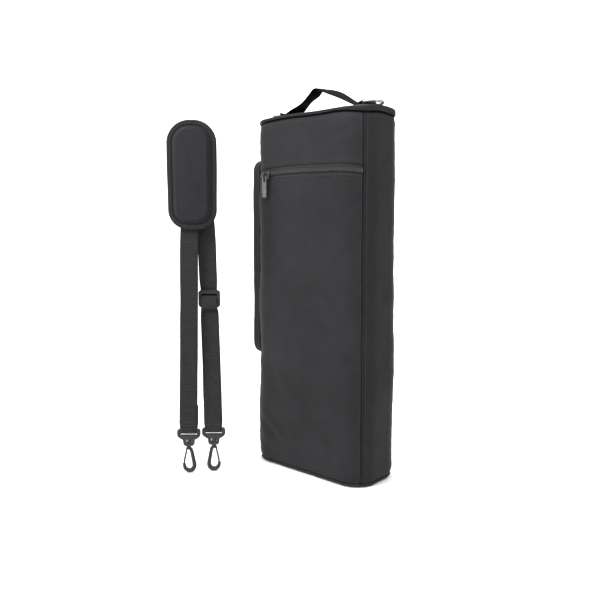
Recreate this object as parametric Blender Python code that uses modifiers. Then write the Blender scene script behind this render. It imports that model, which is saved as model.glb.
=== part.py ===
"""Tall zip-top carry bag with a front pocket, a side pocket, a grab handle
and a detachable shoulder strap.

Frame: origin at the centre of the bag's base, +X to the right, the front
faces -Y, +Z up. Metres. Nothing depends on a file outside this script.
"""
import bpy
import bmesh
import math
from mathutils import Vector, Matrix

# ---------------------------------------------------------------- dimensions
BAG_W = 0.166            # width of the bag's footprint
BAG_D = 0.078            # depth of the bag's footprint
CORNER_R = 0.027         # vertical corner radius
PARTING_Z = 0.400        # where lid and body part
SEAM_DEG = 52.0          # how far the front and back panels wrap the corners
FABRIC = 0.0012          # outer fabric with its backing
GAP = 0.0003             # clearance between neighbouring pieces
POCKET_CLEAR = 0.0052    # depth of the flat front pocket
POCKET_ZIP_Z = 0.3400    # centre line of the front pocket's zip
LID_TOP_Z = 0.4093       # top face of the lid
HANDLE_W = 0.025         # grab handle webbing width
HANDLE_PEAK_Z = 0.4375   # highest point of the grab handle
WEB_W = 0.019            # shoulder strap webbing width
WEB_T = 0.0015           # shoulder strap webbing thickness
STRAP_YAW = 42.0         # the strap's plane is turned this much from the front
STRAP_POS = (-0.0905, -0.1141)   # where the strap stands
PAD_W = 0.055            # shoulder pad
PAD_H = 0.119
PAD_TOP_Z = 0.3975
SIDE_POCKET_Z = (0.127, 0.362)
SIDE_POCKET_OUT = 0.0125

HW, HD = BAG_W / 2, BAG_D / 2
RAD = math.radians

# ---------------------------------------------------------------- clean scene
for old in list(bpy.data.objects):
    bpy.data.objects.remove(old, do_unlink=True)

PARTS = bpy.data.collections.new("carry_bag")
CUTTERS = bpy.data.collections.new("carry_bag_cutters")
bpy.context.scene.collection.children.link(PARTS)
bpy.context.scene.collection.children.link(CUTTERS)


def material(name, colour, rough, metal=0.0):
    m = bpy.data.materials.new(name)
    m.use_nodes = True
    bsdf = m.node_tree.nodes["Principled BSDF"]
    bsdf.inputs["Base Color"].default_value = (*colour, 1.0)
    bsdf.inputs["Roughness"].default_value = rough
    bsdf.inputs["Metallic"].default_value = metal
    return m


M_SHELL = material("shell_fabric", (0.035, 0.035, 0.038), 0.75)
M_WEB = material("webbing", (0.022, 0.022, 0.024), 0.8)
M_ZIP = material("zip_tape", (0.05, 0.05, 0.053), 0.6)
M_FOAM = material("foam", (0.16, 0.16, 0.17), 0.95)
M_LINING = material("lining", (0.10, 0.10, 0.11), 0.6)
M_PLASTIC = material("moulded_plastic", (0.04, 0.04, 0.042), 0.45)
M_METAL = material("plated_metal", (0.55, 0.55, 0.56), 0.3, 1.0)
M_BOARD = material("board", (0.07, 0.07, 0.07), 0.8)


# ---------------------------------------------------------------- helpers
def add(name, mesh, mat, loc=(0, 0, 0), parent=None, smooth=40.0, coll=None):
    ob = bpy.data.objects.new(name, mesh)
    (coll or PARTS).objects.link(ob)
    ob.location = loc
    if parent is not None:
        ob.parent = parent
    if mat is not None:
        mesh.materials.append(mat)
    if smooth:
        mesh.shade_smooth()
        mesh.set_sharp_from_angle(angle=RAD(smooth))
    return ob


def empty(name, loc, parent=None, rot_z=0.0):
    e = bpy.data.objects.new(name, None)
    PARTS.objects.link(e)
    e.empty_display_size = 0.01
    e.location = loc
    e.rotation_euler = (0, 0, rot_z)
    if parent is not None:
        e.parent = parent
    return e


def mesh_from(bm, name):
    me = bpy.data.meshes.new(name)
    bm.normal_update()
    bm.to_mesh(me)
    bm.free()
    return me


def outline(a0, a1, inset=0.0, step=15.0, w=BAG_W, d=BAG_D, r=CORNER_R, cy=0.0):
    """Points of a rounded rectangle between two outward-normal angles in
    degrees: 0 is +X, 90 the back, 180 -X, 270 the front."""
    hw, hd, rr = w / 2 - inset, d / 2 - inset, r - inset
    angs = [a0]
    k = math.floor(a0 / step) + 1
    while k * step < a1 - 1e-6:
        angs.append(k * step)
        k += 1
    angs.append(a1)
    pts = []
    for a in angs:
        q = a % 360.0
        corners = []
        for lo, sx, sy in ((0, 1, 1), (90, -1, 1), (180, -1, -1), (270, 1, -1)):
            if lo - 1e-6 <= q <= lo + 90 + 1e-6 or (lo == 270 and q < 1e-6):
                corners.append((lo, sx, sy))
        if len(corners) == 2:
            # the two ends of a flat side, in walking order
            corners.sort(key=lambda c: ((c[0] - q) % 360.0) < 180.0)
        for lo, sx, sy in corners:
            x = sx * (hw - rr) + rr * math.cos(RAD(a))
            y = cy + sy * (hd - rr) + rr * math.sin(RAD(a))
            if not pts or (Vector((x, y)) - Vector(pts[-1])).length > 1e-5:
                pts.append((x, y))
    return pts


def strip(name, pts, z0, z1, thick, mat, closed=False, parent=None, loc=(0, 0, 0)):
    """A wall that follows a plan outline: an edge chain drawn up and thickened
    inward."""
    bm = bmesh.new()
    vs = [bm.verts.new((x - loc[0], y - loc[1], z0 - loc[2])) for x, y in pts]
    es = [bm.edges.new((vs[i], vs[i + 1])) for i in range(len(vs) - 1)]
    if closed:
        es.append(bm.edges.new((vs[-1], vs[0])))
    ret = bmesh.ops.extrude_edge_only(bm, edges=es)
    up = [g for g in ret["geom"] if isinstance(g, bmesh.types.BMVert)]
    bmesh.ops.translate(bm, verts=up, vec=(0, 0, z1 - z0))
    bmesh.ops.recalc_face_normals(bm, faces=bm.faces)
    # the outer side is on the right hand when walking the outline
    walk_normal = Vector((pts[1][1] - pts[0][1], -(pts[1][0] - pts[0][0]), 0))
    if es[0].link_faces[0].normal.dot(walk_normal) < 0:
        bmesh.ops.reverse_faces(bm, faces=bm.faces[:])
    ob = add(name, mesh_from(bm, name), mat, loc, parent)
    s = ob.modifiers.new("wall", "SOLIDIFY")
    s.thickness = thick
    s.offset = -1.0
    s.use_even_offset = True
    return ob


def plate(name, w, d, r, z0, z1, mat, cy=0.0, parent=None, loc=(0, 0, 0), seg=6):
    """A flat panel with rounded vertical corners."""
    bm = bmesh.new()
    bmesh.ops.create_cube(bm, size=1.0)
    bmesh.ops.scale(bm, verts=bm.verts, vec=(w, d, z1 - z0))
    upright = [e for e in bm.edges
               if abs(e.verts[0].co.z - e.verts[1].co.z) > (z1 - z0) / 2]
    bmesh.ops.bevel(bm, geom=upright, offset=r, segments=seg, profile=0.5,
                    affect='EDGES')
    bmesh.ops.translate(bm, verts=bm.verts,
                        vec=(-loc[0], cy - loc[1], (z0 + z1) / 2 - loc[2]))
    return add(name, mesh_from(bm, name), mat, loc, parent)


def block(name, lo, hi, mat, bevel=0.0, parent=None, loc=(0, 0, 0), seg=2,
          coll=None):
    """A box between two corners, with an optional rounded edge."""
    bm = bmesh.new()
    bmesh.ops.create_cube(bm, size=1.0)
    size = [hi[i] - lo[i] for i in range(3)]
    bmesh.ops.scale(bm, verts=bm.verts, vec=size)
    bmesh.ops.translate(bm, verts=bm.verts,
                        vec=[(hi[i] + lo[i]) / 2 - loc[i] for i in range(3)])
    if bevel:
        bmesh.ops.bevel(bm, geom=bm.edges[:], offset=bevel, segments=seg,
                        profile=0.5, affect='EDGES')
    return add(name, mesh_from(bm, name), mat, loc, parent, coll=coll)


def cylinder(name, r, depth, mat, centre, axis='Z', seg=16, parent=None,
             coll=None, loc=(0, 0, 0)):
    bm = bmesh.new()
    bmesh.ops.create_cone(bm, cap_ends=True, segments=seg, radius1=r, radius2=r,
                          depth=depth)
    if axis == 'X':
        bmesh.ops.rotate(bm, verts=bm.verts, matrix=Matrix.Rotation(RAD(90), 3, 'Y'))
    elif axis == 'Y':
        bmesh.ops.rotate(bm, verts=bm.verts, matrix=Matrix.Rotation(RAD(90), 3, 'X'))
    bmesh.ops.translate(bm, verts=bm.verts,
                        vec=[centre[i] - loc[i] for i in range(3)])
    return add(name, mesh_from(bm, name), mat, loc, parent, coll=coll)


def rod(name, pts, radius, mat, cyclic=False, parent=None, loc=(0, 0, 0), res=2):
    """A round rod or piping along a list of points."""
    cu = bpy.data.curves.new(name, "CURVE")
    cu.dimensions = '3D'
    cu.bevel_depth = radius
    cu.bevel_resolution = res
    cu.use_fill_caps = not cyclic
    sp = cu.splines.new('POLY')
    sp.points.add(len(pts) - 1)
    for p, q in zip(sp.points, pts):
        p.co = (q[0] - loc[0], q[1] - loc[1], q[2] - loc[2], 1.0)
    sp.use_cyclic_u = cyclic
    ob = bpy.data.objects.new(name, cu)
    PARTS.objects.link(ob)
    ob.location = loc
    if parent is not None:
        ob.parent = parent
    cu.materials.append(mat)
    return ob


def cut(ob, cutter):
    """Take one hidden solid out of another."""
    cutter.hide_render = True
    cutter.display_type = 'WIRE'
    m = ob.modifiers.new("cut_" + cutter.name, "BOOLEAN")
    m.operation = 'DIFFERENCE'
    m.solver = 'EXACT'
    m.object = cutter
    return ob


def join(ob, other):
    other.hide_render = True
    other.display_type = 'WIRE'
    m = ob.modifiers.new("join_" + other.name, "BOOLEAN")
    m.operation = 'UNION'
    m.solver = 'EXACT'
    m.object = other
    return ob


def ribbon(name, path, width, thick, mat, parent=None, loc=(0, 0, 0), shift=None):
    """Flat webbing: a chain of (y, z) points drawn sideways along X and
    thickened both ways. shift(i) moves point i along X."""
    bm = bmesh.new()
    vs = [bm.verts.new((-width / 2 + (shift(i) if shift else 0.0), y, z))
          for i, (y, z) in enumerate(path)]
    es = [bm.edges.new((vs[i], vs[i + 1])) for i in range(len(vs) - 1)]
    ret = bmesh.ops.extrude_edge_only(bm, edges=es)
    side = [g for g in ret["geom"] if isinstance(g, bmesh.types.BMVert)]
    bmesh.ops.translate(bm, verts=side, vec=(width, 0, 0))
    bmesh.ops.recalc_face_normals(bm, faces=bm.faces)
    bmesh.ops.translate(bm, verts=bm.verts, vec=(-loc[0], -loc[1], -loc[2]))
    ob = add(name, mesh_from(bm, name), mat, loc, parent)
    s = ob.modifiers.new("thickness", "SOLIDIFY")
    s.thickness = thick
    s.offset = 0.0
    s.use_even_offset = True
    return ob


# ---------------------------------------------------------------- bag shell
F0, F1 = 270 - SEAM_DEG, 270 + SEAM_DEG          # front panel's wrap
B0, B1 = 90 - SEAM_DEG, 90 + SEAM_DEG            # back panel's wrap
SEAM_GAP = 2.2                                   # degrees left for the corner piping
WALL_Z0, WALL_Z1 = 0.0035, 0.3970

strip("front_pocket_panel", outline(F0 + SEAM_GAP, F1 - SEAM_GAP), WALL_Z0,
      POCKET_ZIP_Z - 0.0034, FABRIC, M_SHELL)
strip("front_upper_panel", outline(F0 + SEAM_GAP, F1 - SEAM_GAP),
      POCKET_ZIP_Z + 0.0034, WALL_Z1, FABRIC, M_SHELL)
strip("back_panel", outline(B0 + SEAM_GAP, B1 - SEAM_GAP), WALL_Z0, WALL_Z1,
      FABRIC, M_SHELL)
strip("right_gusset", outline(-90 + SEAM_DEG + SEAM_GAP, B0 - SEAM_GAP), WALL_Z0,
      WALL_Z1, FABRIC, M_SHELL)
strip("left_gusset", outline(B1 + SEAM_GAP, F0 - SEAM_GAP), WALL_Z0, WALL_Z1,
      FABRIC, M_SHELL)

# corner piping, one cord in each vertical seam
for nm, a in (("front_left_piping", F0), ("front_right_piping", F1),
              ("back_right_piping", B0), ("back_left_piping", B1)):
    (px, py), = outline(a, a + 0.001, inset=0.0006)[:1]
    rod(nm, [(px, py, WALL_Z0 + (WALL_Z1 - WALL_Z0) * k / 8) for k in range(9)],
        0.00065, M_WEB)

# front pocket: zip tape between the two front panels, backing behind the pocket
strip("pocket_zip_tape_upper", outline(F0 + SEAM_GAP, F1 - SEAM_GAP, inset=0.0002),
      POCKET_ZIP_Z + 0.0015, POCKET_ZIP_Z + 0.0031, 0.0008, M_ZIP)
strip("pocket_zip_tape_lower", outline(F0 + SEAM_GAP, F1 - SEAM_GAP, inset=0.0002),
      POCKET_ZIP_Z - 0.0031, POCKET_ZIP_Z - 0.0015, 0.0008, M_ZIP)
strip("pocket_zip_coil", outline(F0 + SEAM_GAP, F1 - SEAM_GAP, inset=-0.0003),
      POCKET_ZIP_Z - 0.0012, POCKET_ZIP_Z + 0.0012, 0.0013, M_ZIP)
Y_BACKING = -HD + FABRIC + POCKET_CLEAR
block("pocket_backing", (-0.0705, Y_BACKING, WALL_Z0),
      (0.0705, Y_BACKING + 0.0008, WALL_Z1), M_LINING)

# foam boards inside each wall, a lining tube inside them
Y_FOAM = Y_BACKING + 0.0008 + GAP
block("foam_front", (-0.056, Y_FOAM, 0.0052), (0.056, Y_FOAM + 0.0022, 0.3960), M_FOAM)
block("foam_back", (-0.056, HD - FABRIC - GAP - 0.0028, 0.0052),
      (0.056, HD - FABRIC - GAP, 0.3960), M_FOAM)
block("foam_right", (HW - FABRIC - GAP - 0.0028, -0.0115, 0.0052),
      (HW - FABRIC - GAP, 0.0118, 0.3960), M_FOAM)
block("foam_left", (-HW + FABRIC + GAP, -0.0115, 0.0052),
      (-HW + FABRIC + GAP + 0.0028, 0.0118, 0.3960), M_FOAM)
LIN_Y0 = Y_FOAM + 0.0022 + GAP
LIN_Y1 = HD - FABRIC - GAP - 0.0028 - GAP
LIN_W = BAG_W - 2 * (FABRIC + 2 * GAP + 0.0028)
strip("lining_walls", outline(0, 359.999, w=LIN_W, d=LIN_Y1 - LIN_Y0, r=0.0205,
                              cy=(LIN_Y0 + LIN_Y1) / 2)[:-1],
      0.0080, 0.3965, 0.0006, M_LINING, closed=True)

# base: outer panel, stiffener board, foam, lining floor
plate("base_panel", BAG_W - 0.003, BAG_D - 0.003, CORNER_R - 0.0015, 0.0, 0.0012, M_SHELL)
rod("base_piping", [(x, y, 0.0021) for x, y in outline(0, 359.999, inset=0.0006)[:-1]],
    0.0008, M_WEB, cyclic=True)
plate("base_board", 0.1580, 0.0610, 0.0205, 0.0015, 0.0031, M_BOARD, cy=0.0045)
plate("lining_floor", LIN_W - 0.0022, LIN_Y1 - LIN_Y0 - 0.0022, 0.0194, 0.0080, 0.0086,
      M_LINING, cy=(LIN_Y0 + LIN_Y1) / 2)
plate("base_foam", LIN_W - 0.0022, LIN_Y1 - LIN_Y0 - 0.0022, 0.0194, 0.0037, 0.0077,
      M_FOAM, cy=(LIN_Y0 + LIN_Y1) / 2)

# body half of the lid zip: a tape round the mouth and its half of the coil
strip("body_zip_tape", outline(90 + 25, 360 + 90 - 25, inset=0.0002), 0.3973, 0.4003,
      0.0009, M_ZIP)
strip("body_zip_coil", outline(90 + 25, 360 + 90 - 25, inset=-0.0002), 0.4006, 0.4028,
      0.0018, M_ZIP)
# fabric hinge between body and lid, along the back
block("back_hinge_strip", (-0.045, HD - 0.0012, 0.3973), (0.045, HD - 0.0002, 0.4026),
      M_SHELL)

# ---------------------------------------------------------------- side pocket
SP_Z0, SP_Z1 = SIDE_POCKET_Z
SP_Y0, SP_Y1 = -0.0235, 0.0235
SP_X1 = -HW - GAP                 # against the gusset
SP_X0 = SP_X1 - SIDE_POCKET_OUT   # outer face
shell = block("side_pocket_shell", (SP_X0, SP_Y0, SP_Z0), (SP_X1, SP_Y1, SP_Z1), M_SHELL)
sb = shell.modifiers.new("round", "BEVEL")
sb.width = 0.0052
sb.segments = 3
sb.limit_method = 'ANGLE'
hollow = block("side_pocket_hollow", (SP_X0 + 0.0015, SP_Y0 + 0.0015, SP_Z0 + 0.0015),
               (SP_X1 + 0.01, SP_Y1 - 0.0015, SP_Z1 - 0.0015), None, coll=CUTTERS,
               bevel=0.0035)
cut(shell, hollow)
zip_slot = block("side_pocket_zip_slot", (SP_X0 - 0.01, 0.0100, SP_Z0 + 0.012),
                 (SP_X0 + 0.003, 0.0136, SP_Z1 - 0.012), None, coll=CUTTERS)
cut(shell, zip_slot)
block("side_pocket_zip_coil", (SP_X0 - 0.0002, 0.0103, SP_Z0 + 0.0123),
      (SP_X0 + 0.0011, 0.0133, SP_Z1 - 0.0123), M_ZIP)

# ---------------------------------------------------------------- lid
HINGE_Y, HINGE_Z = HD + 0.0002, 0.4029
lid = empty("lid_axis", (0, HINGE_Y, HINGE_Z))
lloc = (0, 0, 0)


def on_lid(ob):
    """Hang a piece on the lid's axis without moving it."""
    ob.parent = lid
    ob.location = Vector(ob.location) - Vector((0, HINGE_Y, HINGE_Z))
    return ob


on_lid(strip("lid_zip_coil", outline(90 + 25, 360 + 90 - 25, inset=-0.0002), 0.4031,
             0.4053, 0.0018, M_ZIP))
on_lid(strip("lid_side_band", outline(0, 359.999, inset=0.0002)[:-1], 0.4056, 0.4078,
             0.0010, M_SHELL, closed=True))
on_lid(plate("lid_top_panel", BAG_W - 0.0006, BAG_D - 0.0006, CORNER_R - 0.0003,
             0.4081, LID_TOP_Z, M_SHELL))
on_lid(plate("lid_foam", BAG_W - 0.0052, BAG_D - 0.0052, CORNER_R - 0.0026,
             0.4046, 0.4078, M_FOAM))
on_lid(plate("lid_lining", BAG_W - 0.0052, BAG_D - 0.0052, CORNER_R - 0.0026,
             0.4037, 0.4043, M_LINING))

# tabs that hold the D-rings, and the rings
TAB_X = 0.0520
for side, s in (("left", -1), ("right", 1)):
    x_in, x_out = s * 0.0515, s * 0.0645
    tab = block(side + "_ring_tab", (min(x_in, x_out), -0.010, LID_TOP_Z + GAP),
                (max(x_in, x_out), 0.010, LID_TOP_Z + 0.0060), M_WEB, bevel=0.0012)
    bore = cylinder(side + "_ring_tab_bore", 0.0020, 0.06, None,
                    (s * 0.0612, 0.0, LID_TOP_Z + 0.0032), 'Y', 12, coll=CUTTERS)
    on_lid(tab)
    cut(tab, bore)
    ax = empty(side + "_ring_axis", (s * 0.0612, 0.0, LID_TOP_Z + 0.0032))
    on_lid(ax)
    ring_pts = []
    n = 14
    for k in range(n + 1):                     # the bow
        a = RAD(-90 + 180.0 * k / n)
        ring_pts.append((s * (0.0612 + 0.0035 + 0.0120 * math.cos(a)),
                         0.0118 * math.sin(a), LID_TOP_Z + 0.0032))
    ring_pts.append((s * 0.0612, 0.0118, LID_TOP_Z + 0.0032))
    ring_pts.append((s * 0.0612, 0.0, LID_TOP_Z + 0.0032))
    ring_pts.append((s * 0.0612, -0.0118, LID_TOP_Z + 0.0032))
    base = Vector((s * 0.0612, 0.0, LID_TOP_Z + 0.0032))
    ring = rod(side + "_d_ring", [tuple(Vector(p) - base) for p in ring_pts], 0.0015,
               M_METAL, cyclic=True, parent=ax)

# grab handle: two sewn feet on the lid and the arch between them
for side, s in (("left", -1), ("right", 1)):
    x0, x1 = sorted((s * 0.0300, s * 0.0508))
    on_lid(block(side + "_handle_foot", (x0, -HANDLE_W / 2, LID_TOP_Z + GAP),
                 (x1, HANDLE_W / 2, LID_TOP_Z + 0.0021), M_WEB))
h_axis = empty("handle_axis", (0, 0, LID_TOP_Z + 0.0065))
on_lid(h_axis)
H_BASE_Z = LID_TOP_Z + 0.0065
H_PTS = []
n = 18
for k in range(n + 1):
    t = k / n
    x = -0.0480 + 0.0960 * t
    u = (x + 0.008) / (0.040 if x < -0.008 else 0.056)   # the crest sits left of middle
    z = H_BASE_Z + 0.0010 + (HANDLE_PEAK_Z - H_BASE_Z - 0.0018) * \
        (0.5 + 0.5 * math.cos(math.pi * min(1.0, abs(u))))
    H_PTS.append((x, z))
bm = bmesh.new()
vs = [bm.verts.new((x, -HANDLE_W / 2, z - H_BASE_Z)) for x, z in H_PTS]
es = [bm.edges.new((vs[i], vs[i + 1])) for i in range(len(vs) - 1)]
ret = bmesh.ops.extrude_edge_only(bm, edges=es)
bmesh.ops.translate(bm, verts=[g for g in ret["geom"] if isinstance(g, bmesh.types.BMVert)],
                    vec=(0, HANDLE_W, 0))
bmesh.ops.recalc_face_normals(bm, faces=bm.faces)
arch = add("grab_handle", mesh_from(bm, "grab_handle"), M_WEB, (0, 0, 0), h_axis)
sol = arch.modifiers.new("thickness", "SOLIDIFY")
sol.thickness = 0.0016
sol.offset = 0.0
sol.use_even_offset = True


# ---------------------------------------------------------------- zip sliders
def slider_and_pull(prefix, pos, turn_z, pull_len, pull_w=0.0066, vertical=False):
    """A zip slider with a hanging pull. In the slider's own frame the zip runs
    along X (or Z when vertical), and -Y points away from the bag."""
    base = empty(prefix + "_slider_axis", pos, rot_z=RAD(turn_z))
    lx, lz = (0.0052, 0.0044) if not vertical else (0.0044, 0.0052)
    body = block(prefix + "_zip_slider", (-lx, -0.0026, -lz), (lx, -0.0004, lz),
                 M_METAL, bevel=0.0007, parent=base)
    # bridge on the slider's face, with a hole that the pull hangs in
    bridge = block(prefix + "_slider_bridge", (-0.0011, -0.0058, -0.0036),
                   (0.0011, -0.0020, 0.0036), None, coll=CUTTERS, parent=base)
    eye = block(prefix + "_slider_eye", (-0.005, -0.0047, -0.0026),
                (0.005, -0.0027, 0.0026), None, coll=CUTTERS, parent=base)
    join(body, bridge)
    cut(body, eye)
    pax = empty(prefix + "_pull_axis", (0, -0.0037, -0.0013), parent=base)
    # the pull: a flat tab with an oblong eye whose top bar lies in the bridge
    w = pull_w / 2
    bm = bmesh.new()
    bmesh.ops.create_cube(bm, size=1.0)
    bmesh.ops.scale(bm, verts=bm.verts, vec=(2 * w, 0.0014, pull_len))
    bmesh.ops.translate(bm, verts=bm.verts, vec=(0, 0, -pull_len / 2 + 0.0007))
    edges = [e for e in bm.edges if abs(e.verts[0].co.y - e.verts[1].co.y) > 0.001]
    bmesh.ops.bevel(bm, geom=edges, offset=0.0012, segments=2, profile=0.5,
                    affect='EDGES')
    pull = add(prefix + "_zip_pull", mesh_from(bm, prefix + "_zip_pull"), M_METAL,
               (0, 0, 0), pax)
    hole = block(prefix + "_pull_eye", (-0.0018, -0.01, -0.0062), (0.0018, 0.01, -0.0007),
                 None, coll=CUTTERS, parent=pax, bevel=0.0004)
    cut(pull, hole)
    return base


slider_and_pull("pocket", (-0.0540, -HD - 0.0004, POCKET_ZIP_Z), 0, 0.0240)
slider_and_pull("lid", (-HW - 0.0004, 0.0095, 0.4030), -90, 0.0215)
slider_and_pull("side_pocket", (SP_X0 - 0.0003, 0.0118, SP_Z1 - 0.0200), -90, 0.0215,
                vertical=True)

# ---------------------------------------------------------------- shoulder strap
strap = empty("strap_axis", (STRAP_POS[0], STRAP_POS[1], 0.0), rot_z=RAD(STRAP_YAW))

FRAME_Z0, FRAME_Z1 = 0.0380, 0.0505
SLOT_Z = 0.0452
HOOK_DX = {"left": -0.0124, "right": 0.0154}
Y_LEFT, Y_RIGHT = 0.0, 0.0052      # depth of the two hanging runs


def hook_set(side, s_gate):
    """Slotted swivel frame, turning hook and sprung gate. s_gate is -1 when the
    gate faces left and +1 when it faces right."""
    cx = HOOK_DX[side]
    cyy = Y_LEFT if side == "left" else Y_RIGHT
    fr = block(side + "_hook_frame", (cx - 0.0126, cyy - 0.0022, FRAME_Z0),
               (cx + 0.0126, cyy + 0.0022, FRAME_Z1), M_PLASTIC, bevel=0.0013, parent=strap)
    boss = block(side + "_frame_boss", (cx - 0.0062, cyy - 0.0022, 0.0318),
                 (cx + 0.0062, cyy + 0.0022, FRAME_Z0 + 0.002), None, coll=CUTTERS,
                 parent=strap)
    slot = block(side + "_frame_slot", (cx - 0.0101, cyy - 0.01, SLOT_Z - 0.0014),
                 (cx + 0.0101, cyy + 0.01, SLOT_Z + 0.0014), None, coll=CUTTERS, parent=strap)
    window = block(side + "_frame_window", (cx - 0.0040, cyy - 0.01, 0.0342),
                   (cx + 0.0040, cyy + 0.01, 0.0394), None, coll=CUTTERS, parent=strap)
    pin_hole = cylinder(side + "_frame_pin_hole", 0.0017, 0.006, None,
                        (cx, cyy, 0.0325), 'Z', 16, parent=strap, coll=CUTTERS)
    join(fr, boss)
    cut(fr, slot)
    cut(fr, window)
    cut(fr, pin_hole)
    turn = empty(side + "_hook_axis", (cx, cyy, 0.0), parent=strap)
    # swivel pin with its domed head, a turned profile
    bm = bmesh.new()
    prof = [(0.0, 0.0384), (0.0016, 0.0380), (0.0026, 0.0366), (0.0026, 0.0352),
            (0.0013, 0.0352), (0.0013, 0.0311), (0.0, 0.0311)]
    pv = [bm.verts.new((x, 0, z)) for x, z in prof]
    for i in range(len(pv) - 1):
        bm.edges.new((pv[i], pv[i + 1]))
    pin = add(side + "_swivel_pin", mesh_from(bm, side + "_swivel_pin"), M_PLASTIC,
              (0, 0, 0), turn, smooth=None)
    sc = pin.modifiers.new("turn", "SCREW")
    sc.steps = 14
    sc.render_steps = 14
    sc.use_merge_vertices = True
    sc.merge_threshold = 0.00002
    # hook: one rod bent from the neck down the closed side and up to the tip
    g = s_gate
    way = [(0.0022 * g, 0.0285), (-0.0015 * g, 0.0284), (-0.0036 * g, 0.0273),
           (-0.0050 * g, 0.0250), (-0.0055 * g, 0.0220), (-0.0056 * g, 0.0170),
           (-0.0056 * g, 0.0120), (-0.0051 * g, 0.0085), (-0.0038 * g, 0.0055),
           (-0.0018 * g, 0.0034), (0.0007 * g, 0.00255), (0.0034 * g, 0.0029),
           (0.0056 * g, 0.0046), (0.0069 * g, 0.0072), (0.0074 * g, 0.0105)]
    rod(side + "_hook_body", [(x, 0, z) for x, z in way], 0.0023, M_PLASTIC, parent=turn,
        res=2)
    gax = empty(side + "_gate_axis", (0.0044 * g, 0, 0.0282), parent=turn)
    rod(side + "_hook_gate", [(0, 0, 0.0008), (0.0006 * g, 0, -0.004),
                              (0.0018 * g, 0, -0.0110), (0.0024 * g, 0, -0.0165)],
        0.0011, M_PLASTIC, parent=gax, res=2)


hook_set("left", -1)
hook_set("right", 1)

# one length of webbing: left frame, up, over behind the pad, down to the right frame
web = [(Y_LEFT + 0.0036, 0.0780), (Y_LEFT + 0.0036, 0.0600), (Y_LEFT + 0.0036, 0.0480),
       (Y_LEFT + 0.0030, 0.0456), (Y_LEFT + 0.0012, 0.0450), (Y_LEFT - 0.0012, 0.0450),
       (Y_LEFT - 0.0030, 0.0456), (Y_LEFT - 0.0036, 0.0480), (Y_LEFT - 0.0034, 0.0600),
       (Y_LEFT - 0.0024, 0.0900)]
n_left0 = len(web)
web += [(Y_LEFT - 0.0010, 0.0900 + 0.0290 * k) for k in range(1, 10)]
web += [(Y_LEFT - 0.0006, 0.3750), (Y_LEFT + 0.0002, 0.3830), (Y_LEFT + 0.0020, 0.3862),
        (Y_LEFT + 0.0040, 0.3862), (Y_LEFT + 0.0058, 0.3830), (Y_LEFT + 0.0066, 0.3750)]
n_top = len(web)
web += [(Y_RIGHT + 0.0014, 0.3510 - 0.0290 * k) for k in range(0, 9)]
web += [(Y_RIGHT - 0.0020, 0.0900), (Y_RIGHT - 0.0034, 0.0600), (Y_RIGHT - 0.0036, 0.0480),
        (Y_RIGHT - 0.0030, 0.0456), (Y_RIGHT - 0.0012, 0.0450), (Y_RIGHT + 0.0012, 0.0450),
        (Y_RIGHT + 0.0030, 0.0456), (Y_RIGHT + 0.0036, 0.0480), (Y_RIGHT + 0.0038, 0.0600),
        (Y_RIGHT + 0.0046, 0.0900), (Y_RIGHT + 0.0046, 0.1400), (Y_RIGHT + 0.0046, 0.1860)]


def web_shift(i):
    """The two runs spread apart towards the hooks and meet behind the pad."""
    y, z = web[i]
    top = 0.386
    t = max(0.0, min(1.0, (z - SLOT_Z) / (0.278 - SLOT_Z)))
    if i < (n_left0 + n_top) / 2 + 4 and i < n_top - 3:
        low, mid = HOOK_DX["left"], -0.0079
    else:
        low, mid = HOOK_DX["right"], 0.0108
    if z <= 0.278:
        return low + (mid - low) * t
    return mid + (0.0015 - mid) * (z - 0.278) / (top - 0.278)


ribbon("strap_webbing", web, WEB_W, WEB_T, M_WEB, parent=strap, shift=web_shift)

# sliding length adjuster on the right run
ADJ_Z = 0.2010
adj_x = 0.0128
adj = block("length_adjuster", (adj_x - 0.0114, Y_RIGHT - 0.0028, ADJ_Z - 0.0090),
            (adj_x + 0.0114, Y_RIGHT + 0.0001, ADJ_Z + 0.0090), M_PLASTIC, bevel=0.0010,
            parent=strap)
for k, (z0, z1) in enumerate(((0.0022, 0.0060), (-0.0060, -0.0022))):
    sl = block("adjuster_slot_%d" % k, (adj_x - 0.0098, Y_RIGHT - 0.02, ADJ_Z + z0),
               (adj_x + 0.0098, Y_RIGHT + 0.02, ADJ_Z + z1), None, coll=CUTTERS,
               parent=strap)
    cut(adj, sl)

# shoulder pad: a flat cover with a raised padded field in front of it
PAD_X = -0.0032
PZ = PAD_TOP_Z - PAD_H / 2


def oblong(name, w, h, r, y0, y1, mat, bevel=0.0, seg=8):
    bm = bmesh.new()
    bmesh.ops.create_cube(bm, size=1.0)
    bmesh.ops.scale(bm, verts=bm.verts, vec=(w, y1 - y0, h))
    edges = [e for e in bm.edges
             if abs(e.verts[0].co.y - e.verts[1].co.y) > (y1 - y0) / 2]
    bmesh.ops.bevel(bm, geom=edges, offset=r, segments=seg, profile=0.5, affect='EDGES')
    if bevel:
        rim = [e for e in bm.edges if len(e.link_faces) == 2 and
               abs(e.verts[0].co.y - e.verts[1].co.y) < 1e-6 and
               e.verts[0].co.y < 0]
        bmesh.ops.bevel(bm, geom=rim, offset=bevel, segments=2, profile=0.5,
                        affect='EDGES')
    bmesh.ops.translate(bm, verts=bm.verts, vec=(PAD_X, (y0 + y1) / 2, PZ))
    return add(name, mesh_from(bm, name), mat, (0, 0, 0), strap)


oblong("pad_backing", PAD_W, PAD_H, 0.0225, -0.0036, -0.0024, M_WEB)
oblong("pad_cushion", PAD_W - 0.0010, PAD_H - 0.0010, 0.0220, -0.0098, -0.0039, M_WEB,
       bevel=0.0018)
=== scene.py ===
import bpy
import bmesh
import math
import numpy as np
from mathutils import Vector, Matrix, noise


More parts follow.
